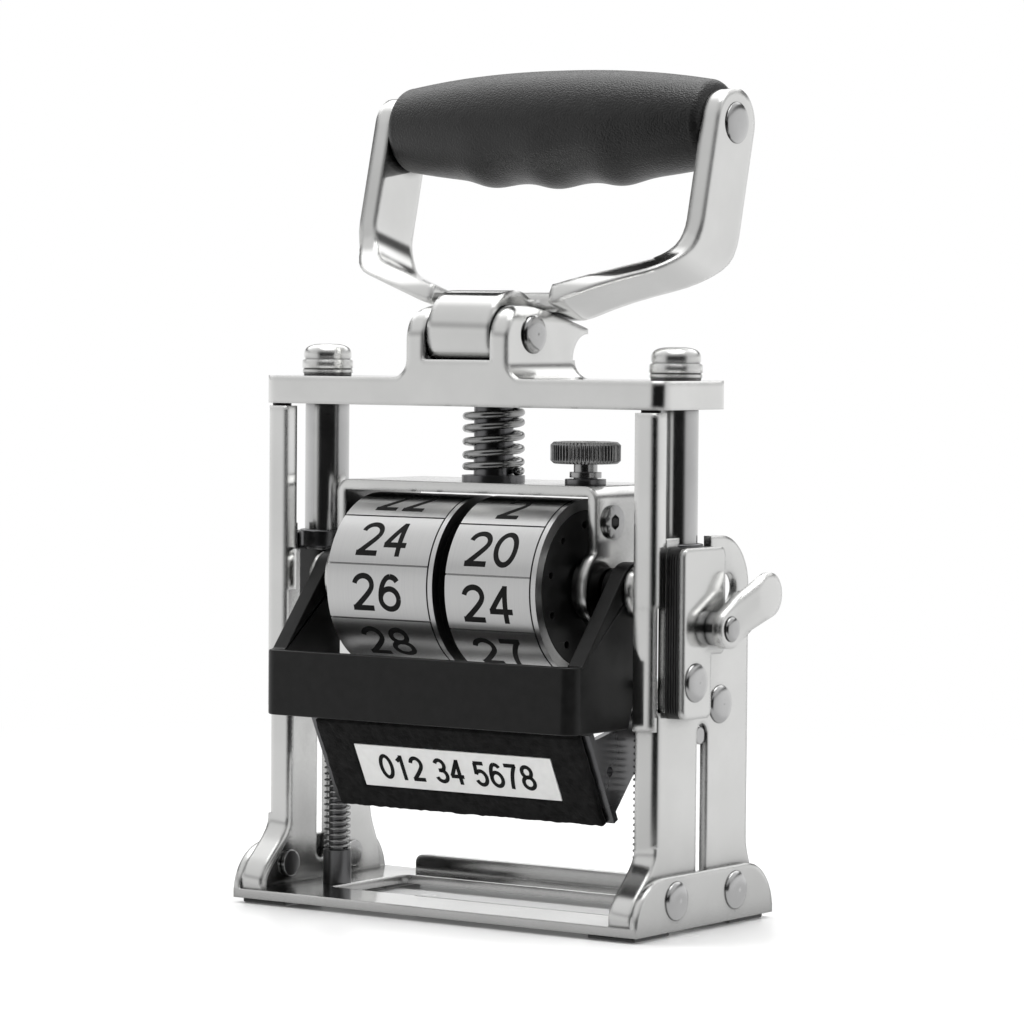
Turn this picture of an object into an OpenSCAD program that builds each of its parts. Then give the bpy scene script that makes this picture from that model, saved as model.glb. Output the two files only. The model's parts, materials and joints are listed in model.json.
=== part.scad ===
// Dating and numbering hand stamp: a spring-loaded press frame with a folding handle,
// two number wheels on a sliding carriage and a print plate that tilts flat as it comes down.
// Sizes are in millimetres. X runs to the right, Y to the back and Z up, and the origin lies
// on the table under the middle of the base. Everything is drawn at rest, with the press up.

/* [Base] */
// Half width of the base, to the outer faces of its upturned ears
base_half = 54.2; // [53:0.2:57]
// Reach of the base in front of the origin
base_front = 24.4; // [24.2:0.2:28]
// Reach of the base behind the origin
base_back = 30.2; // [29:0.2:33]
// Thickness of the base plate
plate_t = 2; // [1.5:0.1:2.6]
// Thickness of the rubber pads under the base
pad_t = 1.2; // [0.8:0.1:2]
// Thickness of the upturned ears
ear_t = 1.8; // [1.4:0.1:2.2]
// Height of the ears above the base plate
ear_h = 9.8; // [9.6:0.1:12]
// Radius of the ears' top corners
ear_round = 11; // [4:0.5:11]
// Height of the upturned lip at the back edge
lip_h = 3.6; // [2:0.2:6]
// Distance of the lip's ends inside the ears
lip_inset = 12.2; // [10:0.2:20]
// Reach of the print window in front of the origin
window_front = 9; // [8:0.5:12]
// Reach of the print window behind the origin
window_back = 19; // [17:0.5:22]

/* [Side frames] */
// Thickness of the side webs
web_t = 1.8; // [1.4:0.1:2.2]
// Height of the webs' top edge
web_top = 85; // [84.5:0.5:88]
// Reach of the webs behind the origin
web_back = 21.8; // [20.5:0.1:23]
// Radius of the webs' rear top corner
web_round = 11.5; // [6:0.5:12]
// Width of the front flanges and of the slide rails
flange_w = 5.6; // [5.2:0.2:6.2]
// Thickness of the front flanges
flange_t = 2; // [1.5:0.1:2.4]
// Reach of the flanges' front faces before the origin
flange_front = 14.2; // [13.8:0.1:14.6]
// Height at which the flanges end
flange_top = 48; // [46:0.5:52]
// Height at which the foot begins to flare out
flare_top = 18.5; // [17:0.5:20]
// Height at which the flare ends
flare_low = 5; // [4.5:0.5:8]
// Forward reach of the flared foot
flare_front = 9.7; // [7:0.1:9.9]
// Rearward reach of the flared foot
flare_back = 4; // [2:0.2:5]
// Rounding of the posts' outer front corner
post_round = 1.4; // [0.5:0.1:1.5]
// Radius of the base rivets' shanks
rivet_r = 2; // [1.5:0.1:2.5]
// Radius of the base rivets' heads
rivet_head_r = 4.2; // [3.2:0.1:4.4]
// Height of the rivet heads
rivet_head_h = 1.2; // [0.8:0.1:2]
// Forward place of the front base rivets
rivet_front = 8.9; // [7:0.1:9.4]
// Rearward place of the rear base rivets
rivet_back = 14.8; // [13:0.1:16]

/* [Press] */
// Stroke of the press
stroke = 21.3; // [19:0.1:22]
// Height of the crossbar's underside
bar_z0 = 112.3; // [110:0.5:118]
// Thickness of the crossbar
bar_t = 6.2; // [5:0.2:8]
// Reach of the crossbar beyond the base at each side
bar_over = -0.4; // [-0.6:0.2:3]
// Reach of the crossbar before the slide rails
bar_lead = 0; // [0:0.1:1]
// Reach of the crossbar behind the origin
bar_back = 11.2; // [10:0.2:13]
// Corner radius of the crossbar in plan
bar_round = 3.4; // [2:0.2:5]
// Thickness of the slide rails beside the flanges
rail_t = 1; // [0.9:0.1:1.4]
// Depth of the slide rails above the flanges
rail_deep = 3.8; // [3.4:0.1:4.2]
// Height of the slide rails' lower ends
rail_low = 44; // [43:0.5:46]
// Clearance between sliding faces
slide_gap = 0.2; // [0.1:0.05:0.4]
// Radius of the guide rods
rod_r = 5; // [4:0.1:5]
// Distance of the guide rods' axes inside the webs' outer faces
rod_inset = 5.3; // [5.2:0.1:5.6]
// Height of the guide rods' lower ends
rod_low = 79; // [78:0.5:80]
// Radius of the rods' spigots in the crossbar
spigot_r = 3.4; // [2.5:0.1:3.6]
// Wall of the rod bushes
bush_wall = 1.2; // [0.9:0.1:1.4]
// Height of the rod bushes
bush_h = 4; // [3:0.2:5]
// Running clearance of round fits
run_gap = 0.05; // [0.02:0.01:0.1]

/* [Cap nuts] */
// Radius of the cap nuts' collars
nut_r = 5.8; // [5:0.1:6.2]
// Height of the cap nuts
nut_h = 5.6; // [5:0.2:7]
// Thickness of the washers under them
washer_t = 1.6; // [1:0.1:2]

/* [Guide blocks] */
// Thickness of the laminated guide blocks
stack_t = 3.2; // [2:0.1:3.4]
// Thickness of the cover plates
cover_t = 1.4; // [1.2:0.1:2.4]
// Reach of the guide blocks before the origin
stack_front = 11.2; // [10.6:0.1:11.4]
// Reach of the guide blocks behind the origin
stack_back = 5; // [4.6:0.1:6.4]
// Reach behind the origin of the blocks' narrow lower part
stack_waist = -0.4; // [-0.8:0.1:0.4]
// Height of the guide blocks' lower ends
stack_z0 = 46.5; // [45.5:0.5:47]
// Height of the guide blocks' upper ends
stack_z1 = 83; // [81.6:0.2:83.2]
// Height at which the blocks narrow
stack_step = 60; // [58:0.5:61]
// Reach of the block rivets before the origin
block_rivet_y = 6.5; // [6:0.1:7]
// Distance of the block rivets below the step
block_rivet_drop = 5.7; // [5.2:0.1:6]
// Distance of the web rivets behind the blocks' narrow part
web_rivet_y = 11; // [10:0.1:11.6]
// Distance of the left web rivet beyond the turned block's narrow part
turned_rivet_y = 7.8; // [7.4:0.1:8]
// Height of the web rivets above the blocks' lower ends
web_rivet_rise = 1.9; // [1.6:0.1:2.2]

/* [Lock lever] */
// Reach of the lever's pivot behind the origin
lever_y = 0.4; // [0:0.1:0.8]
// Height of the lever's pivot
lever_z = 65.6; // [65:0.1:70]
// Thickness of the lever
lever_t = 2.3; // [1.8:0.1:3]
// Radius of the lever's hub
lever_hub_r = 4.3; // [3.8:0.1:4.6]
// Length of the lever from pivot to paddle centre
lever_len = 11; // [9:0.5:14]
// Rise of the lever above the level
lever_rise = 28; // [0:1:40]
// Radius of the lever's paddle
paddle_r = 4.8; // [3:0.1:5]
// Outward offset of the bent paddle
paddle_out = 1.8; // [0:0.1:3]
// Radius of the lever's pivot pin
lever_pin_r = 2; // [1.5:0.1:2.4]
// Height of the boss under the lever
boss_h = 2.2; // [1.5:0.1:3]

/* [Handle] */
// Reach of the handle's hinge pin before the origin
hinge_y = 5.3; // [5:0.1:5.5]
// Height of the hinge pin above the crossbar's top
hinge_h = 9.7; // [9.4:0.1:11]
// Radius of the clevis lugs
lug_r = 6.4; // [6:0.1:6.6]
// Thickness of the clevis lugs
lug_t = 4.6; // [4:0.1:5.4]
// Radius of the hinge barrel
barrel_r = 9.6; // [9:0.1:9.6]
// Reach of the lugs' tails behind the origin
tail_back = 16; // [15:0.2:16.6]
// Radius of the hollow under the tails
tail_r = 5.8; // [5:0.1:6]
// Half width of the hinge barrel
barrel_half = 8.4; // [7.6:0.1:9]
// Height of the pedestal between the lugs
pedestal_h = 4; // [2:0.1:4.4]
// Radius of the hinge pin
hinge_pin_r = 2.4; // [2:0.1:3]
// Backward lean of the handle at rest
lean = 14; // [12:1:16]
// Thickness of the handle strap
strap_t = 4.4; // [3.6:0.1:4.8]
// Width of the handle strap
strap_w = 15; // [13:0.1:15.4]
// Offset of the strap's middle behind the hinge
strap_off = 17.4; // [17:0.1:18]
// Height of the strap's foot above the hinge, along the lean
strap_foot = 9; // [9:0.1:10]
// Half length of the strap's foot
strap_foot_half = 16; // [15.8:0.2:18]
// Height of the strap's bends above the hinge, along the lean
strap_bend = 19.6; // [18:0.1:21]
// Bend radius of the strap's middle line
strap_round = 13; // [8:0.5:14]
// Forward reach of the strap's foot before its arms
foot_shift = 9.9; // [9:0.1:10.4]
// Height of the grip above the hinge, along the lean
grip_height = 52.4; // [50:0.1:54]
// Half length of the grip
grip_half = 42.3; // [41:0.1:44]
// Radius of the grip at its middle
grip_r = 12.7; // [11.5:0.1:13.5]
// Radius of the grip at its ends
grip_end_r = 9.8; // [8.5:0.1:10.4]
// Spacing of the finger bumps
bump_pitch = 17.6; // [15:0.2:19]
// Height of the finger bumps
bump_h = 1.5; // [0.5:0.1:2.5]
// Radius of the rod through the grip
grip_rod_r = 3; // [2:0.1:3.5]
// Radius of the rod's riveted heads
grip_head_r = 4.6; // [3.6:0.1:5]

/* [Carriage] */
// Length of the plunger between crossbar and carriage
plunger_len = 16.7; // [15.5:0.1:18]
// Radius of the plunger
plunger_r = 4.4; // [3.6:0.1:4.8]
// Reach of the plunger before the origin
plunger_y = 1; // [0:0.5:2]
// Room between the carriage and the ears' outer faces
carriage_room = 19.2; // [18.9:0.1:19.6]
// Thickness of the carriage sheet
carriage_t = 2.3; // [1.8:0.1:2.6]
// Reach of the carriage before the origin
carriage_front = 12; // [11:0.5:13]
// Reach of the carriage behind the origin
carriage_back = 16.5; // [14:0.5:18]
// Depth of the carriage's upper cheeks
cheek_h = 15.5; // [14:0.5:17]
// Outer radius of the carriage's folded edges
fold_r = 3.2; // [2.6:0.1:4]
// Reach of the legs before the origin
leg_front = 4.5; // [4:0.1:5]
// Reach of the legs behind the origin
leg_back = 7.5; // [7:0.1:8.5]
// Length of the legs below the die pins
leg_tail = 10; // [8:0.5:10.5]

/* [Wheels] */
// Radius of the number drums
drum_r = 19.5; // [18:0.1:20]
// Wall of the number drums
drum_wall = 2.4; // [1.6:0.1:3]
// Room between the left cheek and the left drum
left_room = 5.3; // [4.8:0.1:6]
// Room between the right cheek and the right drum
right_room = 4.3; // [4:0.1:5]
// Share of the drums' width that the left drum takes
left_share = 0.546; // [0.5:0.002:0.56]
// Gap between the drums
drum_gap = 3.4; // [2.4:0.1:4]
// Number cells around a drum
cells = 10; // [10:1:12]
// Turn of the left drum at which it rests
left_phase = 5; // [0:1:36]
// Turn of the right drum at which it rests
right_phase = 9; // [0:1:36]
// Width and depth of the grooves between cells
groove = 0.4; // [0.2:0.05:0.6]
// Width of the plain rim at a drum's right edge
rim_w = 1.6; // [1:0.1:2.4]
// Clearance above the drums
drum_clear = 0.6; // [0.4:0.1:1]
// Reach of the wheel axle before the origin
axle_y = 6; // [5.6:0.1:6.2]
// Radius of the wheel axle
axle_r = 3; // [2.4:0.1:3.2]

/* [Knob] */
// Distance of the knob inside the right cheek
knob_room = 6.1; // [5.6:0.1:9]
// Reach of the knob before the origin
knob_y = 4; // [3:0.1:5]
// Radius of the knob
knob_r = 7.7; // [6:0.1:8.4]
// Height of the knob
knob_h = 4.8; // [4:0.1:6]
// Height of the knob above the carriage
knob_gap = 4.6; // [3.8:0.1:5]
// Radius of the knob's stem
knob_stem_r = 2.6; // [2:0.1:3]

/* [Ink bail] */
// Gap between the carriage and the bail's arms
arm_gap = 2.8; // [2.8:0.1:3.2]
// Reach of the bail before the origin
bail_front = 30.3; // [29:0.1:32]
// Wall of the bail
bail_wall = 2.5; // [2:0.1:3]
// Height of the bail's lower edge
bail_z0 = 43.6; // [43.2:0.1:45]
// Height of the bail's front wall
bail_h = 14.4; // [13:0.2:16]
// Rounding of the bail's front corners
bail_round = 3.4; // [2.6:0.1:4.5]
// Thickness of the bail's arms
arm_t = 3.8; // [3:0.1:4]
// Radius of the arms' ends around the pivots
arm_r = 6.2; // [5.4:0.1:6.4]
// Radius of the pivot shoulders
pivot_r = 3.4; // [2.6:0.1:3.8]
// Side clearance of turning arms
side_gap = 0.3; // [0.2:0.05:0.4]

/* [Die] */
// Tilt of the die's face from the vertical at rest
die_lean = 27; // [24:1:30]
// Reach of the die beyond the carriage at each side
die_over = 0.4; // [0:0.1:0.4]
// Height of the die along its face
die_len = 22; // [20:0.2:22.4]
// Distance from the die pins to the face
die_drop = 20.4; // [19.8:0.1:21]
// Offset of the die behind the pins when it lies flat
die_shift = 0.8; // [0:0.1:1.4]
// Reach of the die pins behind the origin
pin_y = 3.5; // [3.3:0.1:3.8]
// Radius of the die pins
pin_r = 1.9; // [1.5:0.1:1.9]
// Thickness of the felt
felt_t = 1.6; // [1:0.1:2]
// Thickness of the die holder's sheet
holder_t = 1.6; // [1.2:0.1:1.6]
// Width of the felt beside the print plate
print_margin = 8.9; // [6:0.1:12]
// Height of the print plate along the face
print_len = 10.8; // [8:0.2:13]
// Height of the pressed face above the table
print_gap = 0.3; // [0.1:0.1:0.5]

/* [Springs] */
// Wire diameter of the return springs
wire = 0.62; // [0.5:0.02:0.64]
// Outer diameter of the return springs
spring_od = 6.2; // [5.6:0.1:6.4]
// Turns of each return spring
spring_turns = 30; // [24:1:32]
// Distance of the return springs outside the carriage
spring_room = 7; // [6.8:0.1:7.2]
// Reach of the return springs before the origin
spring_y = 2; // [1.8:0.1:2.4]
// Height of the collars under the return springs
collar_h = 7.6; // [5:0.2:8]
// Height of the return springs' upper seats
seat_z = 52; // [51:0.5:54]
// Thickness of the upper seats
seat_t = 2; // [1.5:0.1:3]
// Wire diameter of the plunger spring
plunger_wire = 1.5; // [1:0.1:1.6]
// Outer diameter of the plunger spring
plunger_spring_od = 14; // [13.4:0.1:15]
// Turns of the plunger spring
plunger_turns = 4.5; // [3.5:0.5:4.5]

/* [Hidden] */
$fn = 64;

// Heights of the base
plate_z0 = pad_t;
plate_z1 = pad_t + plate_t;
ear_top = plate_z1 + ear_h;
rivet_z = plate_z1 + ear_h / 2 - 0.4;

// The side frames stand inside the ears, and the posts end flush with the webs
web_x1 = base_half - ear_t;
web_x0 = web_x1 - web_t;
post_x0 = web_x1 - flange_w;
lip_half = base_half - lip_inset;

// The slide rails run in front of the flanges
rail_back = flange_front + slide_gap;
rail_front = rail_back + rail_t;
web_front = rail_front - rail_deep - slide_gap;
rail_step = flange_top + stroke + 1;
rail_neck = 0.6;

// Guide rods and bushes, and the notches in the webs through which the rods pass
rod_x = web_x1 - rod_inset;
bush_r = rod_r + run_gap + bush_wall;
bush_z0 = web_top - bush_h - 1.5;
notch_half = rod_r + 0.3;
notch_low = rod_low - stroke - 1;
notch_bush = bush_r + run_gap;

// Guide blocks, covers and the lever stand on each other outside the webs
stack_x1 = web_x1 + stack_t;
cover_x1 = stack_x1 + cover_t;
boss_x1 = cover_x1 + boss_h;
lever_x0 = boss_x1 + side_gap / 3;
lever_x1 = lever_x0 + lever_t;
upper_rivet = [-block_rivet_y, stack_step - block_rivet_drop];
lower_rivet = [stack_waist + web_rivet_y, stack_z0 + web_rivet_rise];
turned_rivet = [stack_waist + turned_rivet_y, lower_rivet[1]];

// Crossbar, hinge and handle
bar_half = base_half + bar_over;
bar_front = rail_front + bar_lead;
bar_z1 = bar_z0 + bar_t;
hinge = [0, -hinge_y, bar_z1 + hinge_h];
lug_x0 = barrel_half + 0.5;
lug_x1 = lug_x0 + lug_t;
barrel_gap = 0.35;
strap_x = grip_half + strap_t / 2;
strap_n0 = strap_off - strap_w / 2;
strap_n1 = strap_off + strap_w / 2;
lug_clear = lug_r + 0.6;

// Carriage, wheels and knob hang on the plunger
carriage_half = base_half - carriage_room;
carriage_z1 = bar_z0 - plunger_len;
carriage_z0 = carriage_z1 - carriage_t;
cheek_x0 = carriage_half - carriage_t;
axle_z = carriage_z0 - drum_clear - drum_r;
drums_w = 2 * cheek_x0 - left_room - right_room - drum_gap;
left_drum_w = drums_w * left_share;
right_drum_w = drums_w - left_drum_w;
left_x0 = left_room - cheek_x0;
left_x1 = left_x0 + left_drum_w;
right_x0 = left_x1 + drum_gap;
right_x1 = right_x0 + right_drum_w;
hub_r = 6.5;
disc_t = 1.4;
index_r = 0.8;
index_ring = drum_r - drum_wall - 3.2;
detent_angle = 310;
knob_x = cheek_x0 - knob_room;
knob_z0 = carriage_z1 + knob_gap;
screw_z = carriage_z1 - cheek_h / 2;

// Bail arms turn on shouldered screws in the ends of the axle
arm_x0 = carriage_half + arm_gap;
arm_x1 = arm_x0 + arm_t;
pivot_head_r = 5.8;
pivot_head_t = 2.8;

// The die lies flat on the paper at the end of the stroke
pin_z = stroke + die_drop + print_gap;
die_turn = 90 - die_lean;
die_half = carriage_half + die_over;
print_half = die_half - print_margin;
die_arm_x0 = carriage_half + 0.9;
window_half = die_arm_x0 + holder_t + 1;
slot_half = pin_r + slide_gap;
slot_z0 = rivet_z;
slot_z1 = pin_z + slot_half + 0.6;

// Return springs
spring_x = carriage_half + spring_room;
spring_r = (spring_od - wire) / 2;
spring_z0 = plate_z1 + collar_h;
spring_len = seat_z - spring_z0;
guide_pin_r = spring_od / 2 - wire - 0.5;
guide_pin_top = seat_z - stroke - 2;
plunger_coil_r = (plunger_spring_od - plunger_wire) / 2;
plunger_collar = 1.4;
plunger_coil_len = plunger_len - plunger_collar;
wire_sides = 6;
rings_per_turn = 8;

// Colours, as the object shows them
chrome = "gainsboro";
steel = "silver";
dark_steel = "dimgray";
black = "#202020";

// Repeated moves and shapes

module along_x(x0, len) {
    translate([x0, 0, 0]) rotate([90, 0, 90]) linear_extrude(len) children();
}

module along_y(y0, len) {
    translate([0, y0 + len, 0]) rotate([90, 0, 0]) linear_extrude(len) children();
}

module both_sides() {
    children();
    mirror([1, 0, 0]) children();
}

// Straight round bar or bore along X, from x0, centred on (y, z)
module bar_x(x0, len, r, y, z) {
    translate([x0, y, z]) rotate([0, 90, 0]) cylinder(r = r, h = len);
}

// Flat rectangle with all four corners rounded, given by its two corners
module rounded(low, high, r) {
    translate([low[0] + r, low[1]]) square([high[0] - low[0] - 2 * r, high[1] - low[1]]);
    translate([low[0], low[1] + r]) square([high[0] - low[0], high[1] - low[1] - 2 * r]);
    for (x = [low[0] + r, high[0] - r], y = [low[1] + r, high[1] - r]) translate([x, y]) circle(r);
}

// Room to cut away from a flat outline's top corner at a point, to round it to radius r;
// the side is 1 for a rear corner and -1 for a front one
module corner_room(at, r, side) {
    translate(at) difference() {
        translate([side > 0 ? -r : -1, -r]) square(r + 1);
        translate([-side * r, -r]) circle(r);
    }
}

// Half outline of a domed head of radius r and height h, around its axis; a low power flattens
// its top
function dome(r, h, steps = 8, power = 1) =
    [for (i = [0:steps]) [r * pow(max(0, cos(90 * i / steps)), power), h * sin(90 * i / steps)]];
head_power = 0.6;

// Rivet with a domed head on +X, whose shank runs len back from the head's seat
module rivet_x(seat, len, y, z, r = rivet_r, head_r = rivet_head_r, head_h = rivet_head_h) {
    head = dome(head_r, head_h, power = head_power);
    translate([seat, y, z]) rotate([0, 90, 0])
        rotate_extrude() polygon(concat([[0, -len], [r, -len], [r, 0]], head));
}

// Smooth step from 0 to 1
function ease(t) = t * t * (3 - 2 * t);

// Reach of the foot beyond the straight post at height z
function flare(z, reach) =
    reach * ease(min(1, max(0, (flare_top - z) / (flare_top - flare_low))));

// Heights at which the flared foot's outline has its points, from the plate upwards
flare_steps = 10;
flare_heights = concat([plate_z1],
    [for (i = [0:flare_steps]) flare_low + (flare_top - flare_low) * i / flare_steps]);
function flipped(list) = [for (i = [len(list) - 1:-1:0]) list[i]];

// Wound wire, as one tube along a helix whose ends stand straight on their seats

function coil_path(r, d, turns, len) = concat(
    [[r, 0, 0]],
    [for (i = [0:turns * rings_per_turn])
        let (a = 360 * i / rings_per_turn)
        [r * cos(a), r * sin(a), d + (len - 2 * d) * i / (turns * rings_per_turn)]],
    [[r * cos(360 * turns), r * sin(360 * turns), len]]);

function unit(v) = v / norm(v);
function path_tangent(p, i) = unit(p[min(i + 1, len(p) - 1)] - p[max(i - 1, 0)]);
function path_radial(p, i, t) = let (n = unit([p[i][0], p[i][1], 0])) unit(n - t * (n * t));

function coil_ring(p, i, d) =
    let (t = path_tangent(p, i), n = path_radial(p, i, t), b = cross(t, n))
    [for (k = [0:wire_sides - 1])
        let (a = 360 * k / wire_sides)
        p[i] + d / 2 * (cos(a) * n + sin(a) * b)];

// Least distance between points of neighbouring turns, less the wire
function coil_gap(p, d) = min([
    for (i = [0:len(p) - 1], k = [rings_per_turn / 2:rings_per_turn * 2])
        if (i + k < len(p)) norm(p[i] - p[i + k])]) - d;

module coil(r, d, turns, len) {
    path = coil_path(r, d, turns, len);
    rings = len(path);
    points = [for (i = [0:rings - 1]) each coil_ring(path, i, d)];
    sides = [
        for (i = [0:rings - 2], k = [0:wire_sides - 1])
            let (a = i * wire_sides + k, b = i * wire_sides + (k + 1) % wire_sides)
            each [[a, b, b + wire_sides], [a, b + wire_sides, a + wire_sides]]];
    ends = [for (k = [1:wire_sides - 2])
        each [[0, k + 1, k], let (e = (rings - 1) * wire_sides) [e, e + k, e + k + 1]]];
    polyhedron(points, [for (f = concat(sides, ends)) [f[0], f[2], f[1]]]);
}

echo(return_spring_gap = coil_gap(coil_path(spring_r, wire, spring_turns, spring_len), wire));
echo(plunger_spring_gap = coil_gap(
    coil_path(plunger_coil_r, plunger_wire, plunger_turns, plunger_coil_len), plunger_wire));

// Base

module ear_outline() {
    difference() {
        translate([-base_front, plate_z0]) square([base_front + base_back, ear_h + plate_t]);
        corner_room([-base_front, ear_top], ear_round, -1);
        corner_room([base_back, ear_top], ear_round, 1);
    }
}

module base_plate() {
    window_round = 1.2;
    color(chrome) difference() {
        union() {
            translate([0, 0, plate_z0]) linear_extrude(plate_t)
                translate([-base_half, -base_front]) square([2 * base_half, base_front + base_back]);
            both_sides() along_x(web_x1, ear_t) ear_outline();
            along_y(base_back - plate_t, plate_t)
                rounded([-lip_half, plate_z0], [lip_half, plate_z1 + lip_h], plate_t);
        }
        translate([0, 0, plate_z0 - 1]) linear_extrude(plate_t + 2)
            rounded([-window_half, -window_front], [window_half, window_back], window_round);
        both_sides() for (y = [-rivet_front, rivet_back])
            bar_x(web_x1 - 1, ear_t + 2, rivet_r + run_gap, y, rivet_z);
    }
}

module rubber_feet() {
    pad_w = 12;
    pad_l = 14;
    edge = 1.5;
    color(black) both_sides() for (y = [edge - base_front, base_back - edge - pad_l])
        translate([base_half - edge - pad_w, y, 0]) cube([pad_w, pad_l, pad_t]);
}

module base_rivets() {
    grip_len = ear_t + web_t;
    clinch_h = 0.9;
    color(steel) both_sides() for (y = [-rivet_front, rivet_back]) {
        rivet_x(base_half, grip_len, y, rivet_z);
        bar_x(web_x0 - clinch_h, clinch_h, rivet_r * 1.5, y, rivet_z);
    }
}

// Side frames

module flange_outline() {
    front = [for (z = flare_heights) [-flange_front - flare(z, flare_front), z]];
    back = [for (z = flare_heights) [-flange_front + flange_t - flare(z + flange_t / 2, flare_front), z]];
    polygon(concat(front, [[-flange_front, flange_top], [-flange_front + flange_t, flange_top]],
        flipped(back)));
}

// Upright slot around the path of the die pins
module slot_outline() {
    low = slot_z0 + slot_half;
    high = slot_z1 - slot_half;
    translate([pin_y - slot_half, low]) square([2 * slot_half, high - low]);
    for (z = [low, high]) translate([pin_y, z]) circle(slot_half);
}

module web_outline() {
    front = [for (z = flare_heights) [-flange_front + flange_t / 2 - flare(z, flare_front), z]];
    back = [for (z = flare_heights) [web_back + flare(z, flare_back), z]];
    difference() {
        union() {
            polygon(concat(front, [[-flange_front + flange_t / 2, flange_top],
                [web_back, flange_top]], flipped(back)));
            translate([-web_front, flange_top - 1])
                square([web_front + web_back, web_top - flange_top + 1]);
        }
        corner_room([web_back, web_top], web_round, 1);
        slot_outline();
        translate([-notch_half, notch_low]) square([2 * notch_half, web_top - notch_low + 1]);
        translate([-notch_bush, bush_z0]) square([2 * notch_bush, web_top - bush_z0 + 1]);
    }
}

// Right side frame; the rivets of its guide block lie as the block is turned
module side_frame(turned) {
    color(chrome) difference() {
        union() {
            along_x(web_x0, web_t) web_outline();
            along_x(post_x0, flange_w) flange_outline();
        }
        translate([web_x1, -flange_front, flare_top + 1]) difference() {
            translate([-post_round, -1, 0]) cube([post_round + 1, post_round + 1, flange_top]);
            translate([-post_round, post_round, -1]) cylinder(r = post_round, h = flange_top + 2);
        }
        for (y = [-rivet_front, rivet_back])
            bar_x(web_x0 - 1, web_t + 2, rivet_r + run_gap, y, rivet_z);
        for (p = [upper_rivet, turned > 0 ? lower_rivet : turned_rivet])
            bar_x(web_x0 - 1, web_t + 2, rivet_r + run_gap, turned * p[0], p[1]);
    }
}

module side_frame_right() {
    hole_r = 3.4;
    hole_in = 3.2;
    difference() {
        side_frame(1);
        bar_x(web_x0 - 1, web_t + 2, hole_r, web_back - web_round + hole_in, web_top - web_round);
    }
}

module side_frame_left() { mirror([1, 0, 0]) side_frame(-1); }

// Guide blocks

module stack_outline(r) {
    rounded([-stack_front, stack_step], [stack_back, stack_z1], r);
    rounded([-stack_front, stack_z0], [stack_waist, stack_step + 2 * r], r);
}

module guide_stack() {
    sheets = 5;
    seam = 0.2;
    seam_deep = 0.5;
    color(dark_steel) difference() {
        along_x(web_x1, stack_t) stack_outline(2.6);
        for (i = [1:sheets - 1])
            translate([web_x1 + i * stack_t / sheets - seam / 2, -stack_front - 1, stack_z0 - 1])
            cube([seam, 1 + seam_deep, stack_z1 - stack_z0 + 2]);
        translate([rod_x, 0, bush_z0]) cylinder(r = notch_bush, h = bush_h + 2);
        translate([rod_x, 0, notch_low]) cylinder(r = rod_r + 0.3, h = web_top - notch_low);
        bar_x(web_x1 - 1, stack_t + 2, rivet_r + run_gap, upper_rivet[0], upper_rivet[1]);
    }
}

module guide_stack_right() { guide_stack(); }
module guide_stack_left() { rotate(180) guide_stack(); }

module guide_cover() {
    color(chrome) difference() {
        along_x(stack_x1, cover_t) stack_outline(1.8);
        bar_x(stack_x1 - 1, cover_t + 2, rivet_r + run_gap, upper_rivet[0], upper_rivet[1]);
    }
}

module guide_cover_right() { guide_cover(); }
module guide_cover_left() { rotate(180) guide_cover(); }

module guide_rivets() {
    color(steel) for (turn = [0, 180]) rotate(turn) {
        rivet_x(cover_x1, cover_t + stack_t + web_t, upper_rivet[0], upper_rivet[1]);
        low = turn == 0 ? lower_rivet : turned_rivet;
        rivet_x(web_x1, web_t, low[0], low[1]);
    }
}

module rod_bushes() {
    color(dark_steel) both_sides() translate([rod_x, 0, bush_z0]) difference() {
        cylinder(r = bush_r, h = bush_h);
        translate([0, 0, -1]) cylinder(r = rod_r + run_gap, h = bush_h + 2);
    }
}

module spring_posts() {
    color(steel) both_sides() translate([spring_x, -spring_y, plate_z1]) {
        cylinder(r = spring_od / 2 + 0.1, h = collar_h);
        cylinder(r = guide_pin_r, h = guide_pin_top - plate_z1);
    }
}

module return_spring() {
    color(dark_steel) translate([spring_x, -spring_y, spring_z0])
        coil(spring_r, wire, spring_turns, spring_len);
}

module return_spring_right() { return_spring(); }
module return_spring_left() { mirror([1, 0, 0]) return_spring(); }

// Lock lever

module lever_pivot() {
    color(steel) {
        bar_x(cover_x1, boss_h, lever_hub_r - 0.6, lever_y, lever_z);
        rivet_x(lever_x1 + side_gap / 3, lever_x1 + side_gap / 3 - boss_x1, lever_y, lever_z,
            r = lever_pin_r, head_r = lever_pin_r + 0.7, head_h = 0.9);
    }
}

module lock_lever() {
    paddle_l = 7;
    color(chrome) difference() {
        translate([lever_x0, lever_y, lever_z]) rotate([lever_rise, 0, 0]) {
            hull() {
                bar_x(0, lever_t, lever_hub_r, 0, 0, $fn = 32);
                bar_x(0, lever_t, paddle_r - 0.4, lever_len - paddle_l / 2, 0, $fn = 32);
            }
            hull() {
                bar_x(lever_t / 3, lever_t * 2 / 3, paddle_r - 0.4, lever_len - paddle_l / 2, 0, $fn = 32);
                bar_x(lever_t / 3 + paddle_out, lever_t * 2 / 3, paddle_r, lever_len + paddle_l / 2, 0,
                    $fn = 32);
            }
        }
        bar_x(lever_x0 - 1, lever_t + 2, lever_pin_r + run_gap, lever_y, lever_z);
    }
}

// Press yoke

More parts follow.
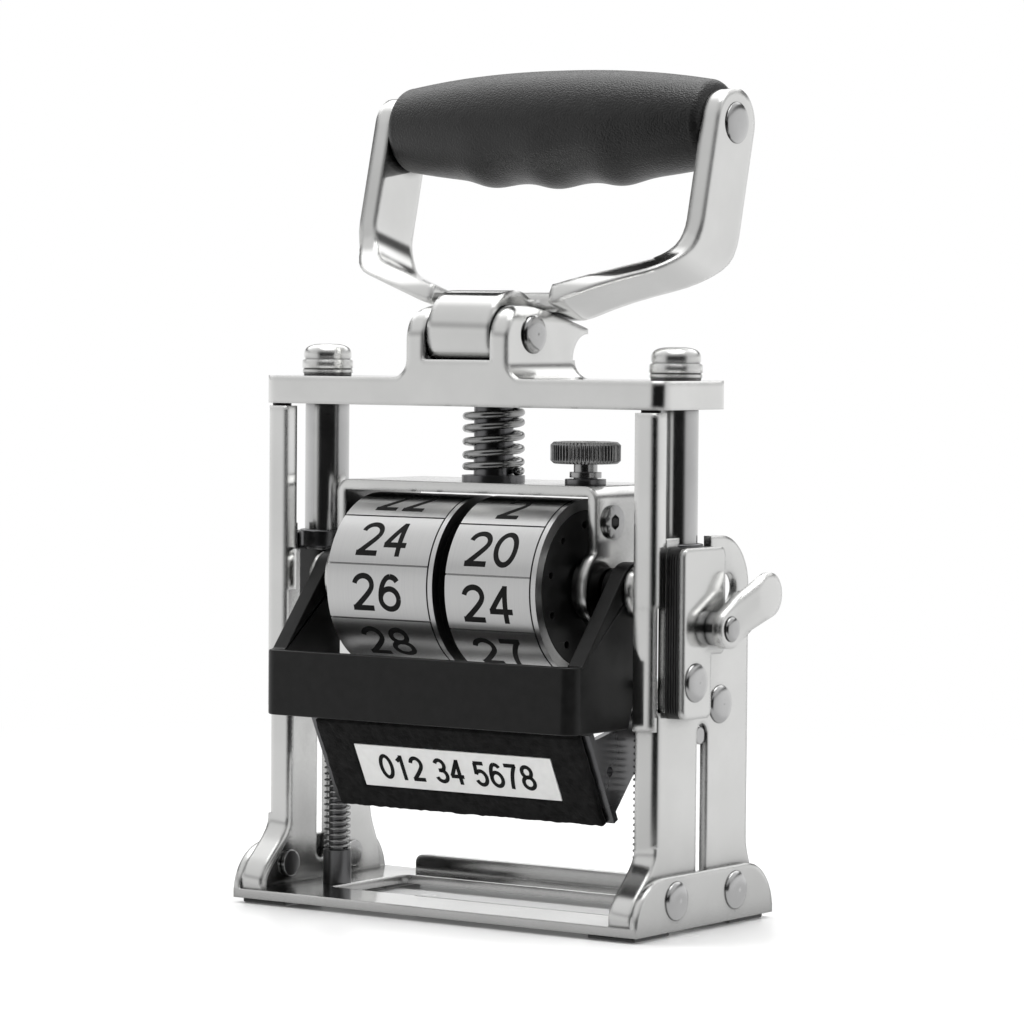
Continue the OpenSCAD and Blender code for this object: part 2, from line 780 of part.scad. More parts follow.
module lug_outline() {
    nose_r = 8;
    nose = [nose_r - bar_front, hinge[2] + lug_r - nose_r];
    slope_y = hinge[1] + lug_r * sin(lean);
    slope_z = hinge[2] + lug_r * cos(lean);
    tail_z = slope_z - (tail_back - slope_y) * tan(lean);
    tail_tip = 1.2;
    difference() {
        union() {
            translate([hinge[1], hinge[2]]) circle(lug_r);
            translate(nose) circle(nose_r);
            polygon([[-bar_front, bar_z1 - 1], [-bar_front, nose[1]], nose, [nose[0], nose[1] + nose_r],
                [hinge[1], hinge[2] + lug_r], [slope_y, slope_z], [tail_back, tail_z],
                [tail_back, bar_z1 + 3], [bar_back - 0.4, bar_z1 - 1]]);
        }
        translate([tail_back - 0.2, tail_z - tail_tip - tail_r]) circle(tail_r);
    }
}

// Front of a lug, with its outer top corner rounded
module lug_front() {
    r = 4;
    top = hinge[2] + lug_r;
    translate([lug_x0, bar_z1 - 1]) square([lug_t - r, top - bar_z1 + 1]);
    translate([lug_x0, bar_z1 - 1]) square([lug_t, top - r - bar_z1 + 1]);
    translate([lug_x1 - r, top - r]) circle(r);
}

module lug_fillet() {
    r = 4;
    difference() {
        translate([lug_x1 - 0.5, bar_z1 - 0.5]) square(r + 0.5);
        translate([lug_x1 + r, bar_z1 + r]) circle(r);
    }
}

module crossbar() {
    color(chrome) difference() {
        union() {
            translate([0, 0, bar_z0]) linear_extrude(bar_t)
                rounded([-bar_half, -bar_front], [bar_half, bar_back], bar_round);
            translate([-lug_x0 - 0.5, -bar_front, bar_z1 - 0.5])
                cube([2 * lug_x0 + 1, bar_front + bar_back - 0.4, pedestal_h + 0.5]);
            both_sides() {
                intersection() {
                    along_x(lug_x0, lug_t) lug_outline();
                    along_y(-bar_front, bar_front + tail_back) lug_front();
                }
                along_y(-bar_front, bar_front + bar_back - 0.4) lug_fillet();
            }
        }
        bar_x(-lug_x0, 2 * lug_x0, barrel_r + barrel_gap, hinge[1], hinge[2]);
        bar_x(-lug_x1 - 1, 2 * lug_x1 + 2, hinge_pin_r + run_gap, hinge[1], hinge[2]);
        both_sides() translate([rod_x, 0, bar_z0 - 1]) cylinder(r = spigot_r + run_gap, h = bar_t + 2);
        translate([0, -plunger_y, bar_z0 - 1]) cylinder(r = spigot_r + run_gap, h = bar_t - 1);
    }
}

module clevis_pin() {
    head_h = 1.4;
    head_r = hinge_pin_r + 1.9;
    color(steel) {
        rivet_x(lug_x1, 2 * lug_x1, hinge[1], hinge[2], r = hinge_pin_r, head_r = head_r,
            head_h = head_h);
        mirror([1, 0, 0]) rivet_x(lug_x1, 1, hinge[1], hinge[2], r = hinge_pin_r,
            head_r = head_r, head_h = head_h);
    }
}

module slide_rail() {
    rail_y0 = -rail_front;
    top = bar_z0 - rail_neck;
    color(chrome) difference() {
        union() {
            translate([post_x0, rail_y0, rail_low]) cube([flange_w, rail_t, top - rail_low]);
            translate([post_x0, rail_y0, rail_step]) cube([flange_w, rail_deep, top - rail_step]);
            translate([post_x0 + 1, rail_y0 + 0.8, top - 1])
                cube([flange_w - 2, rail_deep - 1.6, rail_neck + 1]);
        }
        translate([web_x1, rail_y0, rail_low - 1]) difference() {
            translate([-post_round, -1, 0]) cube([post_round + 1, post_round + 1, bar_z0]);
            translate([-post_round, post_round, -1]) cylinder(r = post_round, h = bar_z0);
        }
    }
}

module slide_rail_right() { slide_rail(); }
module slide_rail_left() { mirror([1, 0, 0]) slide_rail(); }

module guide_rod() {
    color(steel) translate([rod_x, 0, 0]) {
        translate([0, 0, rod_low]) cylinder(r = rod_r, h = bar_z0 - rod_low);
        translate([0, 0, bar_z0 - 1]) cylinder(r = spigot_r, h = bar_t + washer_t + nut_h / 2 + 1);
    }
}

module guide_rod_right() { guide_rod(); }
module guide_rod_left() { mirror([1, 0, 0]) guide_rod(); }

module rod_washers() {
    edge = 0.35;
    color(steel) both_sides() translate([rod_x, 0, bar_z1]) difference() {
        rotate_extrude() polygon([[0, 0], [nut_r - edge, 0], [nut_r - edge, 0.5], [nut_r - 0.1, 0.6],
            [nut_r - 0.1, washer_t - 0.3], [nut_r - edge, washer_t - 0.2], [nut_r - edge, washer_t],
            [0, washer_t]]);
        translate([0, 0, -1]) cylinder(r = spigot_r + run_gap, h = washer_t + 2);
    }
}

module cap_nuts() {
    collar = 1.9;
    crown_r = nut_r - 0.4;
    color(chrome) both_sides() translate([rod_x, 0, bar_z1 + washer_t]) difference() {
        rotate_extrude() polygon(concat(
            [[0, 0], [nut_r - 0.15, 0], [nut_r, 0.2], [nut_r, collar - 0.2], [nut_r - 0.2, collar],
                [crown_r - 0.3, collar + 0.2], [crown_r, collar + 0.6]],
            [for (p = dome(1, nut_h - collar - 1.6)) [crown_r * pow(p[0], 0.6), collar + 1.6 + p[1]]]));
        translate([0, 0, -1]) cylinder(r = spigot_r + run_gap, h = nut_h / 2 + 1.05);
    }
}

module plunger() {
    color(dark_steel) translate([0, -plunger_y, 0]) {
        translate([0, 0, carriage_z1]) {
            cylinder(r = plunger_r, h = plunger_len);
            cylinder(r = plunger_spring_od / 2, h = plunger_collar);
        }
        translate([0, 0, carriage_z0]) cylinder(r = spigot_r, h = carriage_t + 1);
        translate([0, 0, bar_z0 - 1]) cylinder(r = spigot_r, h = bar_t - 2);
    }
}

module plunger_spring() {
    color(dark_steel) translate([0, -plunger_y, carriage_z1 + plunger_collar])
        coil(plunger_coil_r, plunger_wire, plunger_turns, plunger_coil_len);
}

// Carriage

module cheek_outline() {
    lobe_r = 9.4;
    tail_r = (leg_front + leg_back) / 2;
    tail_y = (leg_back - leg_front) / 2;
    tail_z = pin_z - leg_tail + tail_r;
    translate([-carriage_front, carriage_z1 - cheek_h])
        square([carriage_front + carriage_back, cheek_h - fold_r]);
    translate([-axle_y - 1, axle_z + 0.4]) circle(lobe_r);
    translate([-leg_front, tail_z]) square([leg_front + leg_back, carriage_z1 - cheek_h - tail_z + 1]);
    translate([tail_y, tail_z]) circle(tail_r);
}

module carriage() {
    color(chrome) difference() {
        union() {
            along_y(-carriage_front, carriage_front + carriage_back) difference() {
                rounded([-carriage_half, carriage_z1 - 3 * fold_r], [carriage_half, carriage_z1], fold_r);
                translate([-cheek_x0, carriage_z1 - 4 * fold_r])
                    square([2 * cheek_x0, 4 * fold_r - carriage_t]);
                translate([-carriage_half - 1, carriage_z1 - 4 * fold_r])
                    square([2 * carriage_half + 2, 3 * fold_r - 0.5]);
            }
            both_sides() along_x(cheek_x0, carriage_t) cheek_outline();
        }
        bar_x(-carriage_half - 1, 2 * carriage_half + 2, axle_r + run_gap, -axle_y, axle_z);
        both_sides() bar_x(cheek_x0 - 1, carriage_t + 2, pin_r + run_gap, pin_y, pin_z);
        both_sides() bar_x(cheek_x0 - 1, carriage_t + 2, rivet_r + run_gap, -axle_y, screw_z);
        translate([knob_x, -knob_y, carriage_z0 - 1])
            cylinder(r = knob_stem_r + run_gap, h = carriage_t + 2);
        translate([0, -plunger_y, carriage_z0 - 1]) cylinder(r = spigot_r + run_gap, h = carriage_t + 2);
        both_sides() bar_x(cheek_x0 - 1, carriage_t + 2, index_r + 0.4 + run_gap, detent_y, detent_z);
    }
}

module wheel_axle() {
    color(steel) bar_x(-carriage_half, 2 * carriage_half, axle_r, -axle_y, axle_z);
}

module axle_spacers() {
    spacer_r = 7;
    gap = 0.3;
    spans = [[-cheek_x0, left_x0 - gap], [left_x1 + gap, right_x0 - gap], [right_x1 + gap, cheek_x0]];
    color(dark_steel) for (s = spans) difference() {
        bar_x(s[0], s[1] - s[0], spacer_r, -axle_y, axle_z);
        bar_x(s[0] - 1, s[1] - s[0] + 2, axle_r + run_gap, -axle_y, axle_z);
    }
}

detent_y = -axle_y + index_ring * cos(detent_angle);
detent_z = axle_z + index_ring * sin(detent_angle);

// Round-nosed pins in the cheeks, over the ring of index holes
module detent_pins() {
    nose = 1.2;
    gap = 0.4;
    spans = [[right_x1 + gap, 1], [-left_x0 + gap, -1]];
    color(steel) for (s = spans) scale_x(s[1]) translate([s[0], detent_y, detent_z]) rotate([0, 90, 0])
        rotate_extrude() polygon(concat([[0, carriage_half - s[0]], [nose, carriage_half - s[0]]],
            [for (p = dome(nose, nose)) [p[0], nose - p[1]]]));
}

module scale_x(side) {
    if (side > 0) children();
    else mirror([1, 0, 0]) children();
}

module pivot_screws() {
    slot_w = 1;
    head_x = arm_x1 + side_gap;
    color(chrome) both_sides() difference() {
        rivet_x(head_x, head_x - carriage_half, -axle_y, axle_z, r = pivot_r, head_r = pivot_head_r,
            head_h = pivot_head_t);
        translate([head_x + pivot_head_t - 0.5, -axle_y - pivot_head_r, axle_z - slot_w / 2])
            cube([1, 2 * pivot_head_r, slot_w]);
    }
}

module cheek_screws() {
    head_r = 3.6;
    head_h = 0.8;
    color(dark_steel) both_sides() difference() {
        union() {
            bar_x(carriage_half, head_h, head_r, -axle_y, screw_z);
            bar_x(cheek_x0, carriage_t, rivet_r, -axle_y, screw_z);
        }
        bar_x(carriage_half - 1, head_h + 2, 1.7, -axle_y, screw_z, $fn = 6);
    }
}

module slot_pins() {
    color(dark_steel) both_sides() bar_x(cheek_x0, web_x1 - 0.4 - cheek_x0, pin_r, pin_y, pin_z);
}

module spring_lugs() {
    reach = spring_x + spring_od / 2 + 0.2;
    color(steel) both_sides() translate([carriage_half, -spring_y - spring_od / 2, seat_z])
        cube([reach - carriage_half, spring_od, seat_t]);
}

module knob_washer() {
    color(dark_steel) translate([knob_x, -knob_y, carriage_z1]) difference() {
        cylinder(r = knob_stem_r + 1.9, h = 1.3);
        translate([0, 0, -1]) cylinder(r = knob_stem_r + run_gap, h = 4);
    }
}

module lock_knob() {
    ribs = 48;
    rib = 0.5;
    color(dark_steel) translate([knob_x, -knob_y, 0]) {
        translate([0, 0, carriage_z0]) cylinder(r = knob_stem_r, h = knob_z0 - carriage_z0 + 1);
        translate([0, 0, carriage_z1 + 1.6]) cylinder(r = knob_stem_r + 0.9, h = 1.2);
        translate([0, 0, knob_z0]) difference() {
            cylinder(r = knob_r, h = knob_h);
            for (i = [0:ribs - 1]) rotate(360 * i / ribs)
                translate([knob_r, 0, -1]) rotate(45) translate([-rib / 2, -rib / 2, 0])
                cube([rib, rib, knob_h + 2]);
        }
    }
}

// Handle, drawn upright in its own plane and then leaned back about the hinge

module lean_back() {
    translate(hinge) rotate([-lean, 0, 0]) children();
}

// Points of a corner at b, between a and c, rounded to radius r
function corner(a, b, c, r, steps = 8) =
    let (u = unit(a - b), w = unit(c - b), half = acos(u * w) / 2,
        centre = b + unit(u + w) * r / sin(half),
        p = b + u * r / tan(half) - centre,
        turn = (u[0] * w[1] - u[1] * w[0] > 0 ? -1 : 1) * (180 - 2 * half))
    [for (i = [0:steps])
        let (g = turn * i / steps)
        centre + [p[0] * cos(g) - p[1] * sin(g), p[0] * sin(g) + p[1] * cos(g)]];

strap_low = [strap_foot_half, strap_foot];
strap_mid = [strap_x, strap_bend];
strap_top = [strap_x, grip_height + strap_w];
strap_line = concat([[0, strap_foot]], corner([0, strap_foot], strap_low, strap_mid, strap_round),
    corner(strap_low, strap_mid, strap_top, strap_round), [strap_top]);
function side_of(p, i, d) = let (t = path_tangent(p, i)) p[i] + d * [-t[1], t[0]];

module strap_outline() {
    last = len(strap_line) - 1;
    polygon(concat([for (i = [0:last]) side_of(strap_line, i, strap_t / 2)],
        [for (i = [last:-1:0]) side_of(strap_line, i, -strap_t / 2)]));
}

// Forward reach of the strap at height v, from the foot up to the straight arms
function reach(v) =
    foot_shift * (1 - ease(min(1, max(0, (v - strap_foot) / (strap_bend + strap_t - strap_foot)))));

// Side view of the strap, whose foot lies in front of its arms
module strap_side() {
    low = strap_foot - strap_t;
    steps = 12;
    heights = [for (i = [0:steps]) low + (strap_bend + strap_t - low) * i / steps];
    front = [for (v = heights) [strap_n0 - reach(v), v]];
    back = [for (v = heights) [strap_n1 - reach(v), v]];
    polygon(concat(front, [[strap_n0, grip_height], [strap_n1, grip_height]], flipped(back)));
    translate([strap_off, grip_height]) circle(strap_w / 2);
}

module handle_strap() {
    color(chrome) lean_back() difference() {
        union() {
            difference() {
                intersection() {
                    along_y(strap_n0 - foot_shift, strap_w + foot_shift) {
                        strap_outline();
                        mirror([1, 0]) strap_outline();
                    }
                    along_x(-strap_x - strap_t, 2 * (strap_x + strap_t)) strap_side();
                }
                translate([-strap_foot_half, -strap_w, 0])
                    cube([2 * strap_foot_half, strap_w + lug_clear, strap_bend]);
            }
            bar_x(-barrel_half, 2 * barrel_half, barrel_r, 0, 0);
            translate([-barrel_half, 0, 0]) cube([2 * barrel_half, strap_n1 - foot_shift - 1, strap_foot]);
        }
        bar_x(-barrel_half - 1, 2 * barrel_half + 2, hinge_pin_r + run_gap, 0, 0);
        bar_x(-strap_x - strap_t, 2 * (strap_x + strap_t), grip_rod_r + run_gap, strap_off, grip_height);
    }
}

module grip() {
    steps = 16;
    edge = 2.4;
    body = grip_half - edge;
    barrel = [for (i = [0:steps])
        let (s = -1 + 2 * i / steps)
        [grip_end_r + (grip_r - grip_end_r) * (1 - pow(abs(s), 2.2)), s * body]];
    low_end = [for (a = [90:-15:15]) [grip_end_r - edge + edge * cos(a), -body - edge * sin(a)]];
    high_end = [for (a = [15:15:90]) [grip_end_r - edge + edge * cos(a), body + edge * sin(a)]];
    bump_r = grip_r - 3.4;
    color(black) lean_back() translate([0, strap_off, grip_height]) difference() {
        union() {
            rotate([0, 90, 0]) rotate_extrude()
                polygon(concat([[0, -grip_half]], low_end, barrel, high_end, [[0, grip_half]]));
            for (i = [-1:1]) translate([i * bump_pitch, 0, bump_r - grip_r - bump_h]) sphere(bump_r);
        }
        bar_x(-grip_half - 1, 2 * grip_half + 2, grip_rod_r + run_gap, 0, 0);
    }
}

module grip_rod() {
    head_h = 0.9;
    reach = strap_x + strap_t / 2;
    color(steel) lean_back() {
        rivet_x(reach, 2 * reach, strap_off, grip_height, r = grip_rod_r, head_r = grip_head_r,
            head_h = head_h);
        mirror([1, 0, 0]) rivet_x(reach, 1, strap_off, grip_height, r = grip_rod_r,
            head_r = grip_head_r, head_h = head_h);
    }
}

// Number wheels

module drum(x0, w, phase) {
    color(steel) difference() {
        bar_x(x0, w, drum_r, -axle_y, axle_z);
        bar_x(x0 - 1, w + 2, drum_r - drum_wall, -axle_y, axle_z);
        for (i = [0:cells - 1])
            translate([x0, -axle_y, axle_z]) rotate([360 * i / cells + phase, 0, 0])
            translate([-1, -groove / 2, drum_r - groove]) cube([w - rim_w + 1, groove, 2]);
        difference() {
            bar_x(x0 + w - rim_w, groove, drum_r + 1, -axle_y, axle_z);
            bar_x(x0 + w - rim_w - 1, groove + 2, drum_r - groove, -axle_y, axle_z);
        }
    }
}

module hub(x0, w) {
    disc_r = drum_r - drum_wall - run_gap;
    color(black) difference() {
        union() {
            for (x = [x0, x0 + w - disc_t]) bar_x(x, disc_t, disc_r, -axle_y, axle_z);
            bar_x(x0, w, hub_r, -axle_y, axle_z);
        }
        bar_x(x0 - 1, w + 2, axle_r + run_gap, -axle_y, axle_z);
        for (i = [0:cells - 1])
            translate([0, -axle_y, axle_z]) rotate([360 * i / cells + detent_angle, 0, 0])
            bar_x(x0 - 1, w + 2, index_r, index_ring, 0);
    }
}

module left_drum() { drum(left_x0, left_drum_w, left_phase); }
module right_drum() { drum(right_x0, right_drum_w, right_phase); }
module left_hub() { hub(left_x0, left_drum_w); }
module right_hub() { hub(right_x0, right_drum_w); }

// Ink bail

// Side view of an arm, from the tray up to the pivot
module bail_arm_outline() {
    front = bail_round - bail_front;
    top = bail_z0 + bail_h;
    rear = -spring_y - spring_od / 2 - 1.6;
    translate([-axle_y, axle_z]) circle(arm_r);
    polygon([[front, bail_z0], [front, top], [-axle_y - arm_r * 0.8, axle_z + arm_r * 0.6],
        [-axle_y + arm_r * 0.8, axle_z - arm_r * 0.6], [rear, top + 4], [rear, bail_z0 + arm_r],
        [rear - 2, bail_z0]]);
}

module bail_tray() {
    side = 4 * bail_round;
    boss_r = pivot_r + 1.4;
    color(black) difference() {
        union() {
            translate([0, 0, bail_z0]) linear_extrude(bail_h) difference() {
                rounded([-arm_x1, -bail_front], [arm_x1, side - bail_front], bail_round);
                translate([-arm_x0, bail_wall - bail_front]) square([2 * arm_x0, side]);
            }
            both_sides() {
                along_x(arm_x0, arm_t) bail_arm_outline();
                bar_x(carriage_half + side_gap, arm_gap, boss_r, -axle_y, axle_z);
            }
        }
        both_sides() bar_x(carriage_half, arm_x1 - carriage_half + 1, pivot_r + run_gap, -axle_y, axle_z);
    }
}

module ink_pad() {
    pad_depth = 4;
    inset = 0.9;
    color(black) translate([-arm_x0 + inset, -bail_front + bail_wall, bail_z0 + inset])
        cube([2 * (arm_x0 - inset), pad_depth, bail_h - 2 * inset]);
}

// Die, drawn flat as it prints, with the pins at the origin, and then tilted up to rest

module tilt_up() {
    translate([0, pin_y, pin_z]) rotate([-die_turn, 0, 0]) children();
}

die_y0 = die_shift - die_len / 2;
holder_z0 = -die_drop + felt_t;

module die_arm_outline() {
    foot = holder_z0 + holder_t;
    boss_r = 4.4;
    circle(boss_r);
    polygon([[-boss_r * 0.9, -boss_r * 0.4], [boss_r * 0.9, -boss_r * 0.4],
        [die_y0 + die_len - 2, foot], [die_y0 + die_len - 2, holder_z0],
        [die_y0 + 2, holder_z0], [die_y0 + 2, foot]]);
}

module die_holder() {
    hole_r = 1.1;
    bore_x = -die_arm_x0 - holder_t - 1;
    color(steel) tilt_up() difference() {
        union() {
            translate([-die_arm_x0 - holder_t, die_y0, holder_z0])
                cube([2 * (die_arm_x0 + holder_t), die_len, holder_t]);
            both_sides() along_x(die_arm_x0, holder_t) die_arm_outline();
        }
        bar_x(bore_x, -2 * bore_x, pin_r + run_gap, 0, 0);
        bar_x(bore_x, -2 * bore_x, hole_r, die_shift, holder_z0 + 3.4);
    }
}

module die_felt() {
    color(black) tilt_up() translate([0, 0, -die_drop]) linear_extrude(felt_t) difference() {
        rounded([-die_half, die_y0], [die_half, die_y0 + die_len], 1.2);
        translate([-print_half, die_shift - print_len / 2]) square([2 * print_half, print_len]);
    }
}

module print_plate() {
    recess = 0.2;
    color("white") tilt_up()
        translate([-print_half + run_gap, die_shift - print_len / 2 + run_gap, -die_drop + recess])
        cube([2 * (print_half - run_gap), print_len - 2 * run_gap, felt_t - recess]);
}

base_plate();
rubber_feet();
side_frame_left();
side_frame_right();
base_rivets();
guide_stack_left();
guide_stack_right();
guide_cover_left();
guide_cover_right();
guide_rivets();
rod_bushes();
spring_posts();
return_spring_left();
return_spring_right();
lever_pivot();
crossbar();
slide_rail_left();
slide_rail_right();
guide_rod_left();
guide_rod_right();
cap_nuts();
rod_washers();
clevis_pin();
plunger();
plunger_spring();
carriage();
wheel_axle();
axle_spacers();
detent_pins();
pivot_screws();
cheek_screws();
slot_pins();
spring_lugs();
knob_washer();
handle_strap();
grip();
grip_rod();
left_drum();
left_hub();
right_drum();
right_hub();
lock_knob();
bail_tray();
ink_pad();
die_holder();
die_felt();
print_plate();
lock_lever();
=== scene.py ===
"""Looks of a dating and numbering hand stamp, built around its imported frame.

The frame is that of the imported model: X to the lever side, Y to the back and Z up, with the origin on
the table midway between the guide rods. Sizes of pieces are in millimetres, and those of the finishes
and the studio in metres.
"""

from __future__ import annotations

import json
import logging
import math
from dataclasses import dataclass, field
from enum import Enum
from typing import Callable, Optional, Sequence

import bmesh
import bpy
import numpy as np
from mathutils import Matrix, Vector

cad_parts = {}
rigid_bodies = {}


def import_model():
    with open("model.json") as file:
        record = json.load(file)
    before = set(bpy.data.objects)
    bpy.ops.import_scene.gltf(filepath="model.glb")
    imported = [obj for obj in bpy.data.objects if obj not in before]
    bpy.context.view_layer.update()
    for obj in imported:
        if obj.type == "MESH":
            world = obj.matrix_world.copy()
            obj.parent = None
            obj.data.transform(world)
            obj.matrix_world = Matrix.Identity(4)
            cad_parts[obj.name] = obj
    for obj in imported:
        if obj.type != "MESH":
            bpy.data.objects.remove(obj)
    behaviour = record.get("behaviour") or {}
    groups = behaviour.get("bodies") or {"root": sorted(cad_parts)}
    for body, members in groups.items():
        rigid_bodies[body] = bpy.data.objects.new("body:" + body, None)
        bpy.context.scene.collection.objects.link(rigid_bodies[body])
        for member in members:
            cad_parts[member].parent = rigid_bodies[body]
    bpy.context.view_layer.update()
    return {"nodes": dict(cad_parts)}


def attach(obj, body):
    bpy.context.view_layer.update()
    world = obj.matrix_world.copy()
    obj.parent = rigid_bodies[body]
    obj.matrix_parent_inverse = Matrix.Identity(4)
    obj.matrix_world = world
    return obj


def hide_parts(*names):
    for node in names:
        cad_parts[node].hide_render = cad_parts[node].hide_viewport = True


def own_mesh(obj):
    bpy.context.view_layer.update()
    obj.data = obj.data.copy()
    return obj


Piece = bpy.types.Object
Material = bpy.types.Material
Tree = bpy.types.NodeTree
Node = bpy.types.Node
Socket = bpy.types.NodeSocket
Pair = tuple[float, float]
Triple = tuple[float, float, float]
Names = tuple[str, ...]

LOG = logging.getLogger("stamp")
MM = 0.001
DOUBLE = 1e-7
LATTICE = 64
# samples, opening and dark tone of the painted shade that darkens colour in corners and recesses
CORNER_SAMPLES = 4
CORNER_OPEN = (0.35, 0.8)
PAINTED_SHADE_TONE = 0.05
EDGE_SAMPLES = 6
MERGE = 1e-6
SHARP = math.radians(38)
BEVEL_STEPS = 3
FACE_WEIGHT = 60


class Axis(Enum):
    """Row axes along which a pattern can run."""

    X = 0
    Y = 1
    Z = 2


# Surfaces


def grid_faces(rows: int, cols: int, close_rows: bool, close_cols: bool) -> np.ndarray:
    """Quads of a grid of points, row by row.

    Args:
        rows: Number of rows of points.
        cols: Number of points in a row.
        close_rows: Whether the last row joins the first.
        close_cols: Whether a row's last point joins its first.

    Returns:
        Vertex numbers, four to a face.
    """
    r = np.arange(rows if close_rows else rows - 1)[:, None]
    c = np.arange(cols if close_cols else cols - 1)[None, :]
    r1, c1 = (r + 1) % rows, (c + 1) % cols
    corners = np.stack(np.broadcast_arrays(r * cols + c, r * cols + c1, r1 * cols + c1, r1 * cols + c), -1)
    return corners.reshape(-1, 4)


def add_mesh(name: str, points: np.ndarray, faces: Sequence[Sequence[int]], smooth: bool = True) -> Piece:
    """Makes a mesh object at the origin from points in millimetres.

    Args:
        name: Name of the piece.
        points: Points, three numbers each.
        faces: Vertex numbers of each face.
        smooth: Whether the faces are shaded smooth.

    Returns:
        The linked object, with normals pointing outwards.
    """
    mesh = bpy.data.meshes.new(name)
    corners = (np.asarray(points).reshape(-1, 3) * MM).tolist()
    mesh.from_pydata(corners, [], [list(map(int, face)) for face in faces])
    mesh.polygons.foreach_set("use_smooth", np.full(len(mesh.polygons), smooth))
    work = bmesh.new()
    work.from_mesh(mesh)
    bmesh.ops.remove_doubles(work, verts=work.verts, dist=DOUBLE)
    bmesh.ops.recalc_face_normals(work, faces=work.faces)
    work.to_mesh(mesh)
    work.free()
    piece = bpy.data.objects.new(name, mesh)
    bpy.context.scene.collection.objects.link(piece)
    return piece


def add_grid(
    name: str, points: np.ndarray, close_rows: bool = False, close_cols: bool = True, caps: bool = False
) -> Piece:
    """Makes a surface from a grid of points.

    Args:
        name: Name of the piece.
        points: Array of rows, columns and three coordinates, in millimetres.
        close_rows: Whether the last row joins the first.
        close_cols: Whether each row is a closed loop.
        caps: Whether the first and last rows are closed by a flat face.

    Returns:
        The linked object.
    """
    rows, cols = points.shape[:2]
    faces: list[Sequence[int]] = grid_faces(rows, cols, close_rows, close_cols).tolist()
    if caps:
        first = np.arange(cols)
        faces += [first[::-1].tolist(), (first + (rows - 1) * cols).tolist()]
    return add_mesh(name, points, faces)


def value_noise(points: np.ndarray, cell: float, seed: int) -> np.ndarray:
    """Smooth random values in space, from -1 to 1.

    Each point takes a blend of random values that sit on the corners of a cube lattice, with the
    blend eased so that the slope runs smoothly from cell to cell.

    Args:
        points: Points, three numbers each.
        cell: Edge of a lattice cell.
        seed: Seed of the random lattice.

    Returns:
        One value for each point.
    """
    side = LATTICE
    lattice = np.random.default_rng(seed).uniform(-1, 1, (side, side, side))
    place = points / cell
    low = np.floor(place).astype(int)
    part = place - low
    part = part * part * (3 - 2 * part)
    total = np.zeros(points.shape[:-1])
    for corner in np.ndindex(2, 2, 2):
        offset = np.array(corner)
        weight = np.prod(np.where(offset == 1, part, 1 - part), axis=-1)
        at = (low + offset) % side
        total += weight * lattice[at[..., 0], at[..., 1], at[..., 2]]
    return total


# Shader groups and finishes


@dataclass
class NodeKit:
    """Short ways to place and join the nodes of one tree."""

    tree: Tree

    def add(self, kind: str, inputs: Optional[dict] = None, **settings: object) -> Node:
        """Adds a node.

        Args:
            kind: Type of the node.
            inputs: Values or sockets for its inputs, by name or number.
            settings: Values of the node's own settings.

        Returns:
            The new node.
        """
        node = self.tree.nodes.new(kind)
        for key, value in settings.items():
            setattr(node, key, value)
        for key, value in (inputs or {}).items():
            if isinstance(value, Socket):
                self.tree.links.new(value, node.inputs[key])
            else:
                node.inputs[key].default_value = value
        return node

    def times(self, a: object, b: object) -> Socket:
        """Multiplies two values and returns the result's socket."""
        return self.math("MULTIPLY", a, b)

    def math(self, operation: str, a: object, b: object) -> Socket:
        """Adds a Math node and returns its output."""
        return self.add("ShaderNodeMath", {0: a, 1: b}, operation=operation).outputs[0]

    def span(self, value: object, low: float, high: float, to_low: float, to_high: float) -> Socket:
        """Maps a value from one range to another and returns the result's socket."""
        node = self.add("ShaderNodeMapRange", {0: value, 1: low, 2: high, 3: to_low, 4: to_high})
        return node.outputs[0]

    def smooth(self, value: object, low: float, high: float) -> Socket:
        """Eases a value from 0 at the low end of a range to 1 at its high end."""
        node = self.add("ShaderNodeMapRange", {0: value, 1: low, 2: high}, interpolation_type="SMOOTHSTEP")
        return node.outputs[0]

    def mix(self, factor: object, a: object, b: object) -> Socket:
        """Blends two colours and returns the result's socket."""
        node = self.add("ShaderNodeMix", {0: factor, 6: a, 7: b}, data_type="RGBA")
        return node.outputs[2]


def clear_tree(owner: Material | bpy.types.World) -> NodeKit:
    owner.use_nodes = True
    owner.node_tree.nodes.clear()
    return NodeKit(owner.node_tree)


def new_group(name: str, inputs: dict[str, float], outputs: Sequence[str]) -> tuple[Tree, NodeKit]:
    """Starts a shader group with number inputs.

    Args:
        name: Name of the group.
        inputs: Default value of each input.
        outputs: Names of the number outputs.
    """
    group = bpy.data.node_groups.new(name, "ShaderNodeTree")
    for key, value in inputs.items():
        socket = group.interface.new_socket(name=key, in_out="INPUT", socket_type="NodeSocketFloat")
        socket.default_value = value
    for key in outputs:
        group.interface.new_socket(name=key, in_out="OUTPUT", socket_type="NodeSocketFloat")
    return group, NodeKit(group)


